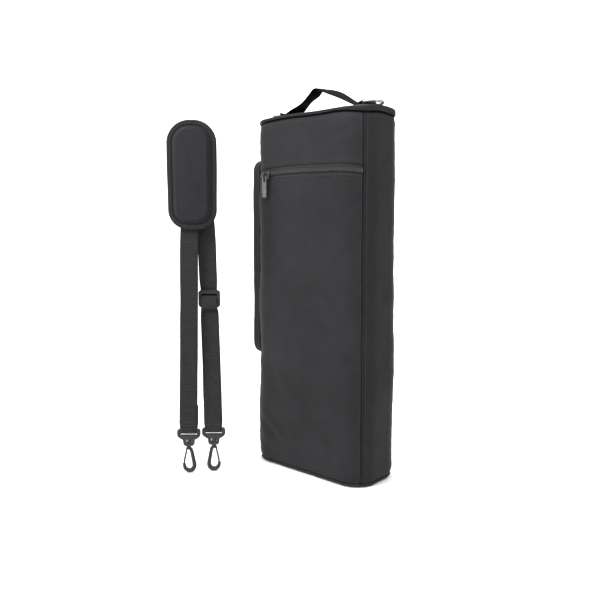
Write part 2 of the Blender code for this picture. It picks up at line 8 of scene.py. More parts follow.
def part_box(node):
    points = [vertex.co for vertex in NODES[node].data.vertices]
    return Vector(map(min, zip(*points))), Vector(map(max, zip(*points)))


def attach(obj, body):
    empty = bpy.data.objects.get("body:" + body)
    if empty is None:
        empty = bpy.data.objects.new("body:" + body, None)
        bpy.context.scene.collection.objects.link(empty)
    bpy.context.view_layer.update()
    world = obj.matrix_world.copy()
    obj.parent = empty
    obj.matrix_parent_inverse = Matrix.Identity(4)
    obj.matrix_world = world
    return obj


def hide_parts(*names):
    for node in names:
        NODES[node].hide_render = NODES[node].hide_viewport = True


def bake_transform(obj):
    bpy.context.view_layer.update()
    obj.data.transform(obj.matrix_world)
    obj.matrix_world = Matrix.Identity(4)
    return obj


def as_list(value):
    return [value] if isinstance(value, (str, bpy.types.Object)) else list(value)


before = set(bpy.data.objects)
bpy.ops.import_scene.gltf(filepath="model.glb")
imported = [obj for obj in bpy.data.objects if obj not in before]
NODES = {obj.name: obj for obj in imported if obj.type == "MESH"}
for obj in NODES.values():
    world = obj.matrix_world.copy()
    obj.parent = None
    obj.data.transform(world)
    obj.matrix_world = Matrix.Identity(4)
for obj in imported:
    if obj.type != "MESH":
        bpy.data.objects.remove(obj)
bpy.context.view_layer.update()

PI = math.pi
RAD = math.radians

# =====================================================================
# camera, lights, floor
# =====================================================================
cam_data = bpy.data.cameras.new("camera")
cam = bpy.data.objects.new("camera", cam_data)
bpy.context.scene.collection.objects.link(cam)
cam_data.sensor_width = 36.0
cam_data.lens = 650.0 / 600.0 * 36.0
cam_data.clip_start = 0.02
cam_data.clip_end = 50.0
AZ, CAM_D, CAM_H = RAD(39.63), 0.7519, 0.2753
PITCH, TH = RAD(5.93), RAD(39.63 + 2.16)
cam.location = (CAM_D * math.sin(AZ), -CAM_D * math.cos(AZ), CAM_H)
look = Vector((-math.sin(TH) * math.cos(PITCH), math.cos(TH) * math.cos(PITCH),
               -math.sin(PITCH)))
cam.rotation_euler = look.to_track_quat('-Z', 'Y').to_euler()
bpy.context.scene.camera = cam
bpy.context.scene.view_settings.view_transform = 'Standard'

world = bpy.data.worlds.new("studio")
bpy.context.scene.world = world
world.use_nodes = True
world.node_tree.nodes["Background"].inputs["Color"].default_value = (1, 1, 1, 1)
world.node_tree.nodes["Background"].inputs["Strength"].default_value = 0.36


def area(name, loc, target, size, power, colour=(1, 1, 1)):
    ld = bpy.data.lights.new(name, 'AREA')
    ld.shape = 'RECTANGLE'
    ld.size, ld.size_y = size
    ld.energy = power
    ld.color = colour
    ob = bpy.data.objects.new(name, ld)
    bpy.context.scene.collection.objects.link(ob)
    ob.location = loc
    ob.rotation_euler = (Vector(target) - Vector(loc)).to_track_quat('-Z', 'Y').to_euler()
    return ob


area("key", (-0.28, -0.88, 0.94), (-0.02, -0.04, 0.32), (0.46, 0.46), 14.8)
area("fill", (0.58, -0.12, 0.86), (0.08, 0, 0.40), (0.34, 0.34), 4.0)
area("top", (0.0, -0.1, 1.75), (0, 0, 0.2), (2.2, 2.2), 10.5)
BACK = Vector((-math.sin(RAD(41.8)), math.cos(RAD(41.8)), 0.0))
area("backdrop_wash", BACK * 1.3 + Vector((0, 0, 2.9)), BACK * 3.2 + Vector((0, 0, 0.9)),
     (3.6, 1.0), 210.0)


# =====================================================================
# materials
# =====================================================================
def mat_base(name, colour, rough, metal=0.0, spec=0.5, sheen=0.0, coat=0.0):
    m = bpy.data.materials.new(name)
    m.use_nodes = True
    nt = m.node_tree
    b = nt.nodes["Principled BSDF"]
    b.inputs["Base Color"].default_value = (*colour, 1)
    b.inputs["Roughness"].default_value = rough
    b.inputs["Metallic"].default_value = metal
    b.inputs["Specular IOR Level"].default_value = spec
    b.inputs["Sheen Weight"].default_value = sheen
    b.inputs["Sheen Roughness"].default_value = 0.45
    b.inputs["Coat Weight"].default_value = coat
    return m, nt, b


def math_node(nt, op, a, b=None, c=None):
    n = nt.nodes.new("ShaderNodeMath")
    n.operation = op
    for i, v in enumerate((a, b, c)):
        if v is None:
            continue
        if isinstance(v, (int, float)):
            n.inputs[i].default_value = v
        else:
            nt.links.new(v, n.inputs[i])
    return n.outputs[0]


def noise_node(nt, coord, scale, detail=4.0, rough=0.55, distort=0.0):
    n = nt.nodes.new("ShaderNodeTexNoise")
    n.inputs["Scale"].default_value = scale
    n.inputs["Detail"].default_value = detail
    n.inputs["Roughness"].default_value = rough
    n.inputs["Distortion"].default_value = distort
    nt.links.new(coord, n.inputs["Vector"])
    return n.outputs["Fac"]


def ramp(nt, fac, stops):
    r = nt.nodes.new("ShaderNodeValToRGB")
    els = r.color_ramp.elements
    while len(els) < len(stops):
        els.new(0.5)
    for e, (p, c) in zip(els, stops):
        e.position = p
        e.color = (*c, 1)
    nt.links.new(fac, r.inputs[0])
    return r.outputs["Color"]


def bump(nt, b, heights):
    """Chain of (height, strength, distance) bumps into the shader."""
    last = None
    for h, strength, dist in heights:
        n = nt.nodes.new("ShaderNodeBump")
        n.inputs["Strength"].default_value = strength
        n.inputs["Distance"].default_value = dist
        nt.links.new(h, n.inputs["Height"])
        if last is not None:
            nt.links.new(last, n.inputs["Normal"])
        last = n.outputs["Normal"]
    nt.links.new(last, b.inputs["Normal"])


def tex(nt, which):
    return nt.nodes.new("ShaderNodeTexCoord").outputs[which]


def split_uv(nt):
    s = nt.nodes.new("ShaderNodeSeparateXYZ")
    nt.links.new(tex(nt, "UV"), s.inputs[0])
    return s.outputs[0], s.outputs[1]


def shade(colour, k):
    return tuple(min(1.0, max(0.0, c * k)) for c in colour)


def fabric(name, colour, pitch=0.0007, rough=0.74, sheen=0.03, depth=0.00012,
           strength=0.55, mottle=0.16, twill=False):
    """Woven cloth: two crossing sets of threads at the given pitch. Its colour carries random cloudy tone, partly
    the faint unevenness of a dyed synthetic and partly painted sheen, and painted shade in the hollows of the
    weave. UVs are in metres."""
    m, nt, b = mat_base(name, colour, rough, spec=0.12, sheen=sheen)
    u, v = split_uv(nt)
    obj = tex(nt, "Object")
    wob = noise_node(nt, obj, 900.0, 2.0)
    k = 2 * PI / pitch
    wob_s = math_node(nt, 'MULTIPLY', wob, 0.9)
    au = math_node(nt, 'ADD', math_node(nt, 'MULTIPLY', u, k), wob_s)
    av = math_node(nt, 'ADD', math_node(nt, 'MULTIPLY', v, k), wob_s)
    if twill:
        a = math_node(nt, 'SINE', math_node(nt, 'ADD', au, av))
        c = math_node(nt, 'SINE', math_node(nt, 'MULTIPLY', av, 2.0))
        h = math_node(nt, 'MULTIPLY_ADD', math_node(nt, 'ADD', a,
                      math_node(nt, 'MULTIPLY', c, 0.35)), 0.35, 0.5)
    else:
        su = math_node(nt, 'SINE', au)
        sv = math_node(nt, 'SINE', av)
        h = math_node(nt, 'MULTIPLY_ADD', math_node(nt, 'MULTIPLY', su, sv), 0.5, 0.5)
    big = noise_node(nt, obj, 14.0, 5.0, 0.6)
    small = noise_node(nt, obj, 260.0, 3.0, 0.6)
    # colour mix: large random mottle (partly painted sheen) plus the weave height h, which darkens the thread
    # hollows as painted shade
    mixed = math_node(nt, 'ADD', math_node(nt, 'MULTIPLY', big, 0.55),
                      math_node(nt, 'ADD', math_node(nt, 'MULTIPLY', h, 0.25),
                                math_node(nt, 'MULTIPLY', small, 0.20)))
    col = ramp(nt, mixed, [(0.25, shade(colour, 1.0 - mottle * 1.3)),
                           (0.52, colour),
                           (0.80, shade(colour, 1.0 + mottle * 1.6))])
    nt.links.new(col, b.inputs["Base Color"])
    r = math_node(nt, 'MULTIPLY_ADD', small, 0.22, rough - 0.11)
    nt.links.new(r, b.inputs["Roughness"])
    soft = noise_node(nt, obj, 55.0, 3.0, 0.5)
    bump(nt, b, [(soft, 0.40, 0.0014), (h, strength, depth), (small, 0.2, 0.0001)])
    return m


def webbing(name, colour, rib=0.0016, cross=0.0011):
    """Ribbed narrow webbing: U runs across the width, V along the length."""
    m, nt, b = mat_base(name, colour, 0.70, spec=0.12, sheen=0.03)
    u, v = split_uv(nt)
    obj = tex(nt, "Object")
    wob = math_node(nt, 'MULTIPLY', noise_node(nt, obj, 700.0, 2.0), 1.2)
    au = math_node(nt, 'MULTIPLY', u, 2 * PI / cross)
    av = math_node(nt, 'ADD', math_node(nt, 'MULTIPLY', v, 2 * PI / rib), wob)
    su = math_node(nt, 'SINE', au)
    sv = math_node(nt, 'SINE', math_node(nt, 'ADD', av, math_node(nt, 'MULTIPLY', su, 0.7)))
    fine = math_node(nt, 'SINE', math_node(nt, 'MULTIPLY', v, 2 * PI / 0.00053))
    h = math_node(nt, 'ADD', math_node(nt, 'MULTIPLY_ADD', sv, 0.30, 0.5),
                  math_node(nt, 'ADD', math_node(nt, 'MULTIPLY', su, 0.10),
                            math_node(nt, 'MULTIPLY', fine, 0.08)))
    small = noise_node(nt, obj, 420.0, 3.0, 0.6)
    # the colour follows the rib height: painted shade in the grooves between ribs and a painted highlight on their
    # crests
    mixed = math_node(nt, 'ADD', math_node(nt, 'MULTIPLY', h, 0.6),
                      math_node(nt, 'MULTIPLY', small, 0.4))
    col = ramp(nt, mixed, [(0.25, shade(colour, 0.52)), (0.5, colour),
                           (0.78, shade(colour, 1.65))])
    nt.links.new(col, b.inputs["Base Color"])
    bump(nt, b, [(h, 0.8, 0.00028), (small, 0.3, 0.00012)])
    return m


M_IOR = 1.22


def plastic(name, colour, rough=0.42):
    m, nt, b = mat_base(name, colour, rough, spec=0.35)
    obj = tex(nt, "Object")
    fine = noise_node(nt, obj, 1500.0, 3.0, 0.6)
    wide = noise_node(nt, obj, 90.0, 4.0, 0.6)
    col = ramp(nt, wide, [(0.3, shade(colour, 0.85)), (0.7, shade(colour, 1.18))])
    nt.links.new(col, b.inputs["Base Color"])
    nt.links.new(math_node(nt, 'MULTIPLY_ADD', wide, 0.2, rough - 0.1),
                 b.inputs["Roughness"])
    bump(nt, b, [(fine, 0.25, 0.00008), (wide, 0.08, 0.0003)])
    return m


def metal(name, colour, rough=0.30):
    m, nt, b = mat_base(name, colour, rough, metal=1.0)
    obj = tex(nt, "Object")
    wear = noise_node(nt, obj, 260.0, 6.0, 0.65)
    fine = noise_node(nt, obj, 1800.0, 2.0, 0.5)
    col = ramp(nt, wear, [(0.30, shade(colour, 0.72)), (0.6, colour),
                          (0.85, shade(colour, 1.15))])
    nt.links.new(col, b.inputs["Base Color"])
    nt.links.new(math_node(nt, 'MULTIPLY_ADD', wear, 0.30, rough - 0.13),
                 b.inputs["Roughness"])
    bump(nt, b, [(fine, 0.10, 0.00005)])
    return m


C_SHELL = (0.0195, 0.0195, 0.0212)
C_WEB = (0.021, 0.021, 0.0222)
M_SHELL = fabric("shell_cloth", C_SHELL, 0.00075, mottle=0.34)
# side cloth: the shell cloth made a little darker, painted shade for the sides turned from the light
M_SIDE_SHADED = fabric("side_cloth", (0.0185, 0.0185, 0.0198), 0.00075, mottle=0.20)
M_BIND = fabric("binding_tape", (0.020, 0.020, 0.0215), 0.0011, strength=0.7, twill=True)
M_TAPE = fabric("zip_tape_cloth", (0.026, 0.026, 0.0275), 0.0009, strength=0.7, twill=True)
M_PIPE = fabric("piping_cloth", (0.028, 0.028, 0.030), 0.0008)
M_LINING = fabric("lining_cloth", (0.075, 0.075, 0.08), 0.0005, rough=0.45, sheen=0.1,
                  strength=0.3)
M_PAD = fabric("pad_mesh_cloth", (0.021, 0.021, 0.0235), 0.0013, strength=0.9,
               depth=0.0003)
M_WEB = webbing("strap_weave", C_WEB)
# handle webbing coloured far darker than the strap webbing: painted shade for the handle's shaded, twisted leg
M_HANDLE_SHADED = webbing("handle_weave_painted_shade", (0.0070, 0.0070, 0.0075), rib=0.0018)
M_HANDLE_SHADED.node_tree.nodes["Principled BSDF"].inputs["IOR"].default_value = M_IOR
M_HANDLE_SHADED.node_tree.nodes["Principled BSDF"].inputs["Specular IOR Level"].default_value = 0.05
M_HANDLE_SHADED.node_tree.nodes["Principled BSDF"].inputs["Sheen Weight"].default_value = 0.0
M_TEETH = plastic("zip_teeth", (0.040, 0.040, 0.042), 0.36)
M_THREAD = plastic("thread", (0.030, 0.030, 0.032), 0.6)
# near-black tape and lid zip teeth: painted shade, so the gap of the lid's zip reads as a dark shadow line
M_PAINTED_SHADOW = fabric("zip_shadow_tape", (0.008, 0.008, 0.0085), 0.0009, sheen=0.0)
M_LIDTEETH_SHADED = plastic("lid_zip_teeth", (0.0055, 0.0055, 0.006), 0.60)
for m_ in (M_PAINTED_SHADOW, M_LIDTEETH_SHADED):
    m_.node_tree.nodes["Principled BSDF"].inputs["Specular IOR Level"].default_value = 0.02
M_PLASTIC = plastic("moulded_hooks", (0.020, 0.020, 0.0215), 0.38)
M_METAL = metal("plated_slider", (0.20, 0.20, 0.205), 0.32)
M_RING = metal("plated_ring", (0.64, 0.64, 0.65), 0.42)
M_PULL = metal("plated_pull", (0.55, 0.55, 0.56), 0.30)
M_FOAM = plastic("foam_sheet", (0.16, 0.16, 0.17), 0.9)
M_BOARD = plastic("stiff_board", (0.05, 0.05, 0.05), 0.7)


# =====================================================================
# mesh helpers
# =====================================================================
def make(name, verts, faces, uvs, mat, body, smooth=True):
    me = bpy.data.meshes.new(name)
    me.from_pydata([tuple(map(float, v)) for v in verts], [], faces)
    if uvs is not None:
        lay = me.uv_layers.new(name="UVMap")
        loops = np.empty(len(me.loops), dtype=np.int32)
        me.loops.foreach_get("vertex_index", loops)
        lay.data.foreach_set("uv", np.asarray(uvs, dtype=np.float32)[loops].ravel())
    me.materials.append(mat)
    if smooth:
        me.shade_smooth()
    me.validate()
    me.update()
    ob = bpy.data.objects.new(name, me)
    bpy.context.scene.collection.objects.link(ob)
    if body:
        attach(ob, body)
    return ob


def fix_normals(ob, toward=None, outward_from=None):
    bm = bmesh.new()
    bm.from_mesh(ob.data)
    bmesh.ops.recalc_face_normals(bm, faces=bm.faces[:])
    bm.to_mesh(ob.data)
    bm.free()


def sheet_grid(name, fn, nu, nv, mat, body, size, closed=False,
               thick=None, flip=False):
    """A cloth surface on a grid; fn(u, v) with u, v in 0..1. size is (across,
    along) in metres, used for the weave."""
    cols = nu if closed else nu + 1
    V, UV = [], []
    for j in range(nv + 1):
        for i in range(cols):
            V.append(fn(i / nu, j / nv))
            UV.append((i / nu * size[0], j / nv * size[1]))
    F = []
    for j in range(nv):
        for i in range(nu):
            a = j * cols + i
            b = j * cols + (i + 1) % cols
            c, d = b + cols, a + cols
            F.append((a, d, c, b) if flip else (a, b, c, d))
    ob = make(name, V, F, UV, mat, body)
    if thick:
        s = ob.modifiers.new("cloth_thickness", "SOLIDIFY")
        s.thickness = thick
        s.offset = -1.0
    return ob


def plan_uv(ob):
    """Lay the weave flat in plan, so it doesn't fan out from the middle."""
    lay = ob.data.uv_layers[0]
    for lp in ob.data.loops:
        co = ob.data.vertices[lp.vertex_index].co
        lay.data[lp.index].uv = (co.x, co.y)


def resample(pts, step):
    """Catmull-Rom through points, then evenly spaced."""
    P = [Vector(p) for p in pts]
    out = []
    n = len(P)
    for i in range(n - 1):
        p0, p1, p2, p3 = P[max(i - 1, 0)], P[i], P[i + 1], P[min(i + 2, n - 1)]
        m = max(2, int((p2 - p1).length / step * 3) + 1)
        for k in range(m):
            t = k / m
            out.append(0.5 * ((2 * p1) + (p2 - p0) * t + (2 * p0 - 5 * p1 + 4 * p2 - p3)
                              * t * t + (3 * p1 - p0 - 3 * p2 + p3) * t ** 3))
    out.append(P[-1])
    L = [0.0]
    for a, b in zip(out, out[1:]):
        L.append(L[-1] + (b - a).length)
    k = max(2, int(round(L[-1] / step)))
    res, j = [], 0
    for i in range(k + 1):
        d = L[-1] * i / k
        while j < len(L) - 2 and L[j + 1] < d:
            j += 1
        t = (d - L[j]) / max(1e-9, L[j + 1] - L[j])
        res.append(out[j].lerp(out[j + 1], min(1.0, max(0.0, t))))
    return res


def tube(name, pts, radius, mat, body, sides=10, closed=False, flat=None,
         up=None, cap=True, rfun=None):
    """A round (or flattened) cord of piping along points."""
    P = [Vector(p) for p in pts]
    n = len(P)
    V, UV, F = [], [], []
    T = []
    for i in range(n):
        a = P[(i - 1) % n] if (closed or i > 0) else P[i]
        b = P[(i + 1) % n] if (closed or i < n - 1) else P[i]
        T.append((b - a).normalized())
    ref = Vector(up) if up is not None else (Vector((0, 0, 1)) if abs(T[0].z) < 0.9
                                             else Vector((0, -1, 0)))
    nrm = (ref - ref.dot(T[0]) * T[0]).normalized()
    length = 0.0
    for i in range(n):
        if i:
            length += (P[i] - P[i - 1]).length
            ref2 = Vector(up) if up is not None else nrm
            nrm = ref2 - ref2.dot(T[i]) * T[i]
            nrm = nrm.normalized() if nrm.length > 1e-6 else Vector((1, 0, 0))
        bi = T[i].cross(nrm)
        r = radius * (rfun(i / (n - 1)) if rfun else 1.0)
        for k in range(sides):
            a = 2 * PI * k / sides
            ca, sa = math.cos(a), math.sin(a)
            fl = flat or 1.0
            V.append(P[i] + nrm * ca * r + bi * sa * r * fl)
            UV.append((k / sides * 2 * PI * radius, length))
    rings = n if closed else n - 1
    for i in range(rings):
        for k in range(sides):
            a = i * sides + k
            b = i * sides + (k + 1) % sides
            c = ((i + 1) % n) * sides + (k + 1) % sides
            d = ((i + 1) % n) * sides + k
            F.append((a, b, c, d))
    if not closed and cap:
        for end, sgn in ((0, -1), (n - 1, 1)):
            r = radius * (rfun(end / (n - 1)) if rfun else 1.0)
            base = end * sides
            centre = P[end]
            ring_prev = [base + k for k in range(sides)]
            for t in (0.5, 0.85):
                ring = []
                for k in range(sides):
                    v = Vector(V[base + k])
                    V.append(centre + (v - centre) * math.sqrt(1 - t * t) +
                             T[end] * sgn * r * t * 0.9)
                    UV.append(UV[base + k])
                    ring.append(len(V) - 1)
                for k in range(sides):
                    q = (ring_prev[k], ring_prev[(k + 1) % sides], ring[(k + 1) % sides],
                         ring[k])
                    F.append(q if sgn > 0 else q[::-1])
                ring_prev = ring
            V.append(centre + T[end] * sgn * r * 0.98)
            UV.append((0, 0))
            tip = len(V) - 1
            for k in range(sides):
                q = (ring_prev[k], ring_prev[(k + 1) % sides], tip)
                F.append(q if sgn > 0 else q[::-1])
    ob = make(name, V, F, UV, mat, body)
    fix_normals(ob)
    return ob


def pills(name, items, mat, body, sides=6):
    """Many small rounded pills in one mesh: (centre, direction, up, half length,
    radius, flatness). Used for stitches and zip teeth."""
    prof = [(-1.0, 0.0), (-0.88, 0.62), (-0.55, 0.95), (0.0, 1.0), (0.55, 0.95),
            (0.88, 0.62), (1.0, 0.0)]
    V, F, UV = [], [], []
    for c, d, up, hl, r, fl in items:
        c, d, up = Vector(c), Vector(d).normalized(), Vector(up)
        up = (up - up.dot(d) * d).normalized()
        side = d.cross(up)
        base = len(V)
        V.append(c + d * hl * prof[0][0])
        UV.append((0, 0))
        for t, k in prof[1:-1]:
            for q in range(sides):
                a = 2 * PI * q / sides
                V.append(c + d * hl * t + side * math.cos(a) * r * k +
                         up * math.sin(a) * r * k * fl)
                UV.append((q / sides * r * 6, t * hl))
        V.append(c + d * hl * prof[-1][0])
        UV.append((0, 0))
        last = len(V) - 1
        m = len(prof) - 2
        for q in range(sides):
            q2 = (q + 1) % sides
            F.append((base, base + 1 + q2, base + 1 + q))
            for i in range(m - 1):
                a = base + 1 + i * sides
                F.append((a + q, a + q2, a + sides + q2, a + sides + q))
            a = base + 1 + (m - 1) * sides
            F.append((a + q, a + q2, last))
    ob = make(name, V, F, UV, mat, body)
    fix_normals(ob)
    return ob


def oblong_pt(t, w, h, r_top, r_bot):
    """Walk a rounded oblong outline, t in 0..1, anticlockwise from the right
    middle."""
    hw, hh = w / 2, h / 2
    segs = [("l", (hw, -hh + r_bot), (hw, hh - r_top)),
            ("a", (hw - r_top, hh - r_top), r_top, 0),
            ("l", (hw - r_top, hh), (-hw + r_top, hh)),
            ("a", (-hw + r_top, hh - r_top), r_top, 90),
            ("l", (-hw, hh - r_top), (-hw, -hh + r_bot)),
            ("a", (-hw + r_bot, -hh + r_bot), r_bot, 180),
            ("l", (-hw + r_bot, -hh), (hw - r_bot, -hh)),
            ("a", (hw - r_bot, -hh + r_bot), r_bot, 270)]
    lens = []
    for s in segs:
        lens.append(math.dist(s[1], s[2]) if s[0] == "l" else PI / 2 * s[2])
    total = sum(lens)
    d = (t % 1.0) * total - lens[7] - lens[6] / 2       # t = 0 is the bottom middle
    d = d % total
    for s, ln in zip(segs, lens):
        if d <= ln or s is segs[-1]:
            break
        d -= ln
    if s[0] == "l":
        k = min(1.0, d / max(ln, 1e-9))
        return (s[1][0] + (s[2][0] - s[1][0]) * k, s[1][1] + (s[2][1] - s[1][1]) * k)
    a = RAD(s[3]) + d / s[2]
    return (s[1][0] + s[2] * math.cos(a), s[1][1] + s[2] * math.sin(a))


def smooth01(t):
    t = min(1.0, max(0.0, t))
    return t * t * (3 - 2 * t)


# =====================================================================
# the bag's soft shape
# =====================================================================
lo_base, hi_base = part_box("base_panel")
HW, HD, CR = 0.083, 0.039, 0.027
A_, Q_, B_ = HW - CR, PI / 2 * CR, 2 * (HD - CR)
PERIM = 4 * A_ + 4 * Q_ + 2 * B_
S_FR = A_ + CR * RAD(52.0)                 # front right seam
S_BR = 2 * A_ + 2 * Q_ + B_ - S_FR         # back right seam
TOP_Z = 0.400
ZIP_Z = 0.3400


def per(s):
    """Plan outline: point and outward normal at a distance from the front
    centre, walking towards +X."""
    s = s % PERIM
    if s < A_:
        return s, -HD, 0.0, -1.0
    s -= A_
    if s < Q_:
        t = s / CR
        return A_ + CR * math.sin(t), -(HD - CR) - CR * math.cos(t), math.sin(t), -math.cos(t)
    s -= Q_
    if s < B_:
        return HW, -(HD - CR) + s, 1.0, 0.0
    s -= B_
    if s < Q_:
        t = s / CR
        return A_ + CR * math.cos(t), (HD - CR) + CR * math.sin(t), math.cos(t), math.sin(t)
    s -= Q_
    if s < 2 * A_:
        return A_ - s, HD, 0.0, 1.0
    s -= 2 * A_
    if s < Q_:
        t = s / CR
        return -A_ - CR * math.sin(t), (HD - CR) + CR * math.cos(t), -math.sin(t), math.cos(t)
    s -= Q_
    if s < B_:
        return -HW, (HD - CR) - s, -1.0, 0.0
    s -= B_
    if s < Q_:
        t = s / CR
        return -A_ - CR * math.cos(t), -(HD - CR) - CR * math.sin(t), -math.cos(t), -math.sin(t)
    s -= Q_
    return -A_ + s, -HD, 0.0, -1.0


def wrap(s):
    s = s % PERIM
    return s - PERIM if s > PERIM / 2 else s


SEAMS = (S_FR, -S_FR, S_BR, -S_BR)
# soft creases on the cloth: (s, z) from, (s, z) to, depth, half width
CREASES = [((-0.068, 0.056), (-0.030, 0.022), 0.0015, 0.0048),
           ((-0.070, 0.070), (-0.046, 0.062), 0.0005, 0.0060),
           ((-0.072, 0.300), (-0.040, 0.322), 0.0008, 0.0060),
           ((-0.055, 0.190), (0.020, 0.150), 0.0007, 0.0110),
           ((-0.010, 0.110), (0.050, 0.135), 0.0007, 0.0100),
           ((-0.060, 0.120), (-0.030, 0.085), 0.0007, 0.0080),
           ((0.035, 0.215), (0.066, 0.170), 0.0007, 0.0070),
           ((0.052, 0.120), (0.074, 0.150), 0.0006, 0.0050),
           ((0.050, 0.300), (0.074, 0.250), 0.0005, 0.0080),
           ((0.030, 0.375), (0.072, 0.383), 0.0006, 0.0045),
           ((-0.060, 0.378), (-0.020, 0.386), 0.0005, 0.0050),
           ((0.035, 0.050), (0.070, 0.030), 0.0006, 0.0060),
           ((0.088, 0.090), (0.125, 0.060), 0.0006, 0.0070),
           ((0.090, 0.345), (0.125, 0.365), 0.0007, 0.0060),
           ((0.092, 0.230), (0.118, 0.200), 0.0005, 0.0090),
           ((0.160, 0.330), (0.215, 0.300), 0.0008, 0.0090),
           ((0.215, 0.090), (0.165, 0.055), 0.0008, 0.0080),
           ((-0.160, 0.200), (-0.210, 0.170), 0.0007, 0.0100)]


def seg_dist(p, a, b):
    ax, ay = a
    bx, by = b
    dx, dy = bx - ax, by - ay
    t = ((p[0] - ax) * dx + (p[1] - ay) * dy) / (dx * dx + dy * dy)
    t = min(1.0, max(0.0, t))
    return math.hypot(p[0] - ax - t * dx, p[1] - ay - t * dy), t


def disp(s, z):
    """How far the cloth stands off the plain rounded box."""
    w = wrap(s)
    x, y, nx, ny = per(s)
    zz = min(1.0, max(0.0, z / TOP_Z))
    d = 0.0
    mid = math.sin(PI * zz) ** 0.6 if 0 < zz < 1 else 0.0
    if abs(w) < S_FR:
        d += 0.0016 * math.cos(PI * w / (2 * S_FR)) ** 2 * mid
    elif abs(w) > S_BR:
        q = (PERIM / 2 - abs(w)) / (PERIM / 2 - S_BR)
        d += 0.0018 * math.cos(PI * q / 2) ** 2 * mid
    else:
        q = (abs(w) - S_FR) / (S_BR - S_FR)
        d += 0.0010 * math.sin(PI * q) * mid
    p = Vector((x, y * 1.2, z))
    d += 0.0018 * noise.noise(p * 13.0) * (0.25 + 0.75 * mid)
    d += 0.0008 * noise.noise(p * 27.0 + Vector((5, 8, 2))) * (0.3 + 0.7 * mid)
    d += 0.00035 * noise.noise(p * 42.0 + Vector((3, 1, 7)))
    d += 0.00010 * noise.noise(p * 120.0 + Vector((9, 4, 2)))
    for a, b, depth, hw in CREASES:
        dist, t = seg_dist((w, z), a, b)
        if dist < hw * 3:
            fade = math.sin(PI * min(1.0, max(0.0, 0.08 + 0.84 * t)))
            d -= depth * fade * math.exp(-(dist / hw) ** 2)
            d += depth * 0.45 * fade * math.exp(-((dist - 1.9 * hw) / hw) ** 2)
    for sm in SEAMS:
        ds = abs(w - sm)
        if ds < 0.03:
            pk = noise.noise(Vector((sm * 50, z * 62.0, 4.0)))
            d += (0.0011 if abs(sm) < 0.1 and w > -0.09 else 0.0003) * pk * math.exp(-((ds - 0.004) / 0.0065) ** 2)
            ripple = 1.0 + 0.35 * math.sin(z * 2 * PI / 0.0125 + 3 * math.sin(z * 31))
            d -= 0.0013 * math.exp(-(ds / 0.0015) ** 2)
            d += 0.00035 * math.exp(-((ds - 0.0042) / 0.002) ** 2) * ripple
            d -= 0.00030 * math.exp(-((ds - 0.0075) / 0.0022) ** 2) * ripple
    # pulled in where it is sewn to the base and to the lid's zip
    d -= 0.0044 * (1 - min(1.0, max(0.0, z) / 0.0125)) ** 2.0
    d -= 0.0007 * math.exp(-((z - 0.3985) / 0.0030) ** 2)
    return d


def droop(s):
    """The mouth sags a little at its corners."""
    w = wrap(s)
    d = 0.0032 * math.exp(-((w - 0.080) / 0.020) ** 2)
    d += 0.0020 * math.exp(-((w + 0.082) / 0.018) ** 2)
    d += 0.0016 * math.exp(-((abs(w) - 0.140) / 0.022) ** 2)
    d += 0.0005 * math.sin(w * 60.0)
    return d


def taper(z):
    k = min(1.03, max(0.0, z / TOP_Z))
    return 1 - 0.024 * k, 1 - 0.024 * k


def skin(s, z, off=0.0):
    x, y, nx, ny = per(s)
    kx, ky = taper(z)
    d = disp(s, z) + off
    fall = droop(s) * smooth01((z - 0.27) / 0.12)
    return Vector((x * kx + nx * d, y * ky + ny * d, z - fall))


def zip_line(s):
    """Height of the pocket's zip: bowed up a little in the middle."""
    w = wrap(s)
    return 0.3407 + 0.0022 * math.cos(PI * w / (2 * S_FR)) - 0.0006 * w / S_FR


def skin_normal(s, z):
    x, y, nx, ny = per(s)
    return Vector((nx, ny, 0.0))


def panel(name, s0, s1, z0, z1, nodes, mat=M_SHELL, du=0.0021, dv=0.0026, thick=0.0011,
          off=0.0, hem_lo=False, hem_hi=False, body="bag"):
    lo_fn = z0 if callable(z0) else (lambda s: z0)
    hi_fn = z1 if callable(z1) else (lambda s: z1)
    za, zb = lo_fn(0.0), hi_fn(0.0)
    nu = max(4, int((s1 - s0) / du))
    nv = max(4, int((zb - za) / dv))

    def fn(u, v):
        s = s0 + (s1 - s0) * u
        z0, z1 = lo_fn(s), hi_fn(s)
        z = z0 + (z1 - z0) * v
        o = off
        if hem_lo and (z - z0) < 0.006:        # folded hem: a soft double edge
            q = (z - z0) / 0.006
            o += 0.0006 * math.sin(PI * min(1.0, q * 1.15)) - 0.0007 * (1 - smooth01(q * 3))
        if hem_hi and (z1 - z) < 0.006:
            q = (z1 - z) / 0.006
            o += 0.0006 * math.sin(PI * min(1.0, q * 1.15)) - 0.0007 * (1 - smooth01(q * 3))
        return skin(s, z, o)

    ob = sheet_grid(name, fn, nu, nv, mat, body, (s1 - s0, zb - za), thick=thick)
    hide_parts(*nodes)
    return ob


SG = 0.0007      # seam gap
MOUTH_Z = 0.3997
panel("pocket_front_cloth", -S_FR + SG, S_FR - SG, 0.0030, lambda s: zip_line(s) - 0.0026,
      ["front_pocket_panel"], hem_hi=True)
panel("upper_front_cloth", -S_FR + SG, S_FR - SG, lambda s: zip_line(s) + 0.0058, MOUTH_Z,
      ["front_upper_panel"], hem_lo=True, dv=0.0018, off=0.0002)
# the side panels use the darker side cloth, which carries painted shade
panel("right_side_cloth", S_FR + SG, S_BR - SG, 0.0030, MOUTH_Z, ["right_gusset"],
      mat=M_SIDE_SHADED)
panel("back_cloth", S_BR + SG, PERIM - S_BR - SG, 0.0030, MOUTH_Z, ["back_panel"])
panel("left_side_cloth", -S_BR + SG, -S_FR - SG, 0.0030, MOUTH_Z, ["left_gusset"],
      mat=M_SIDE_SHADED)

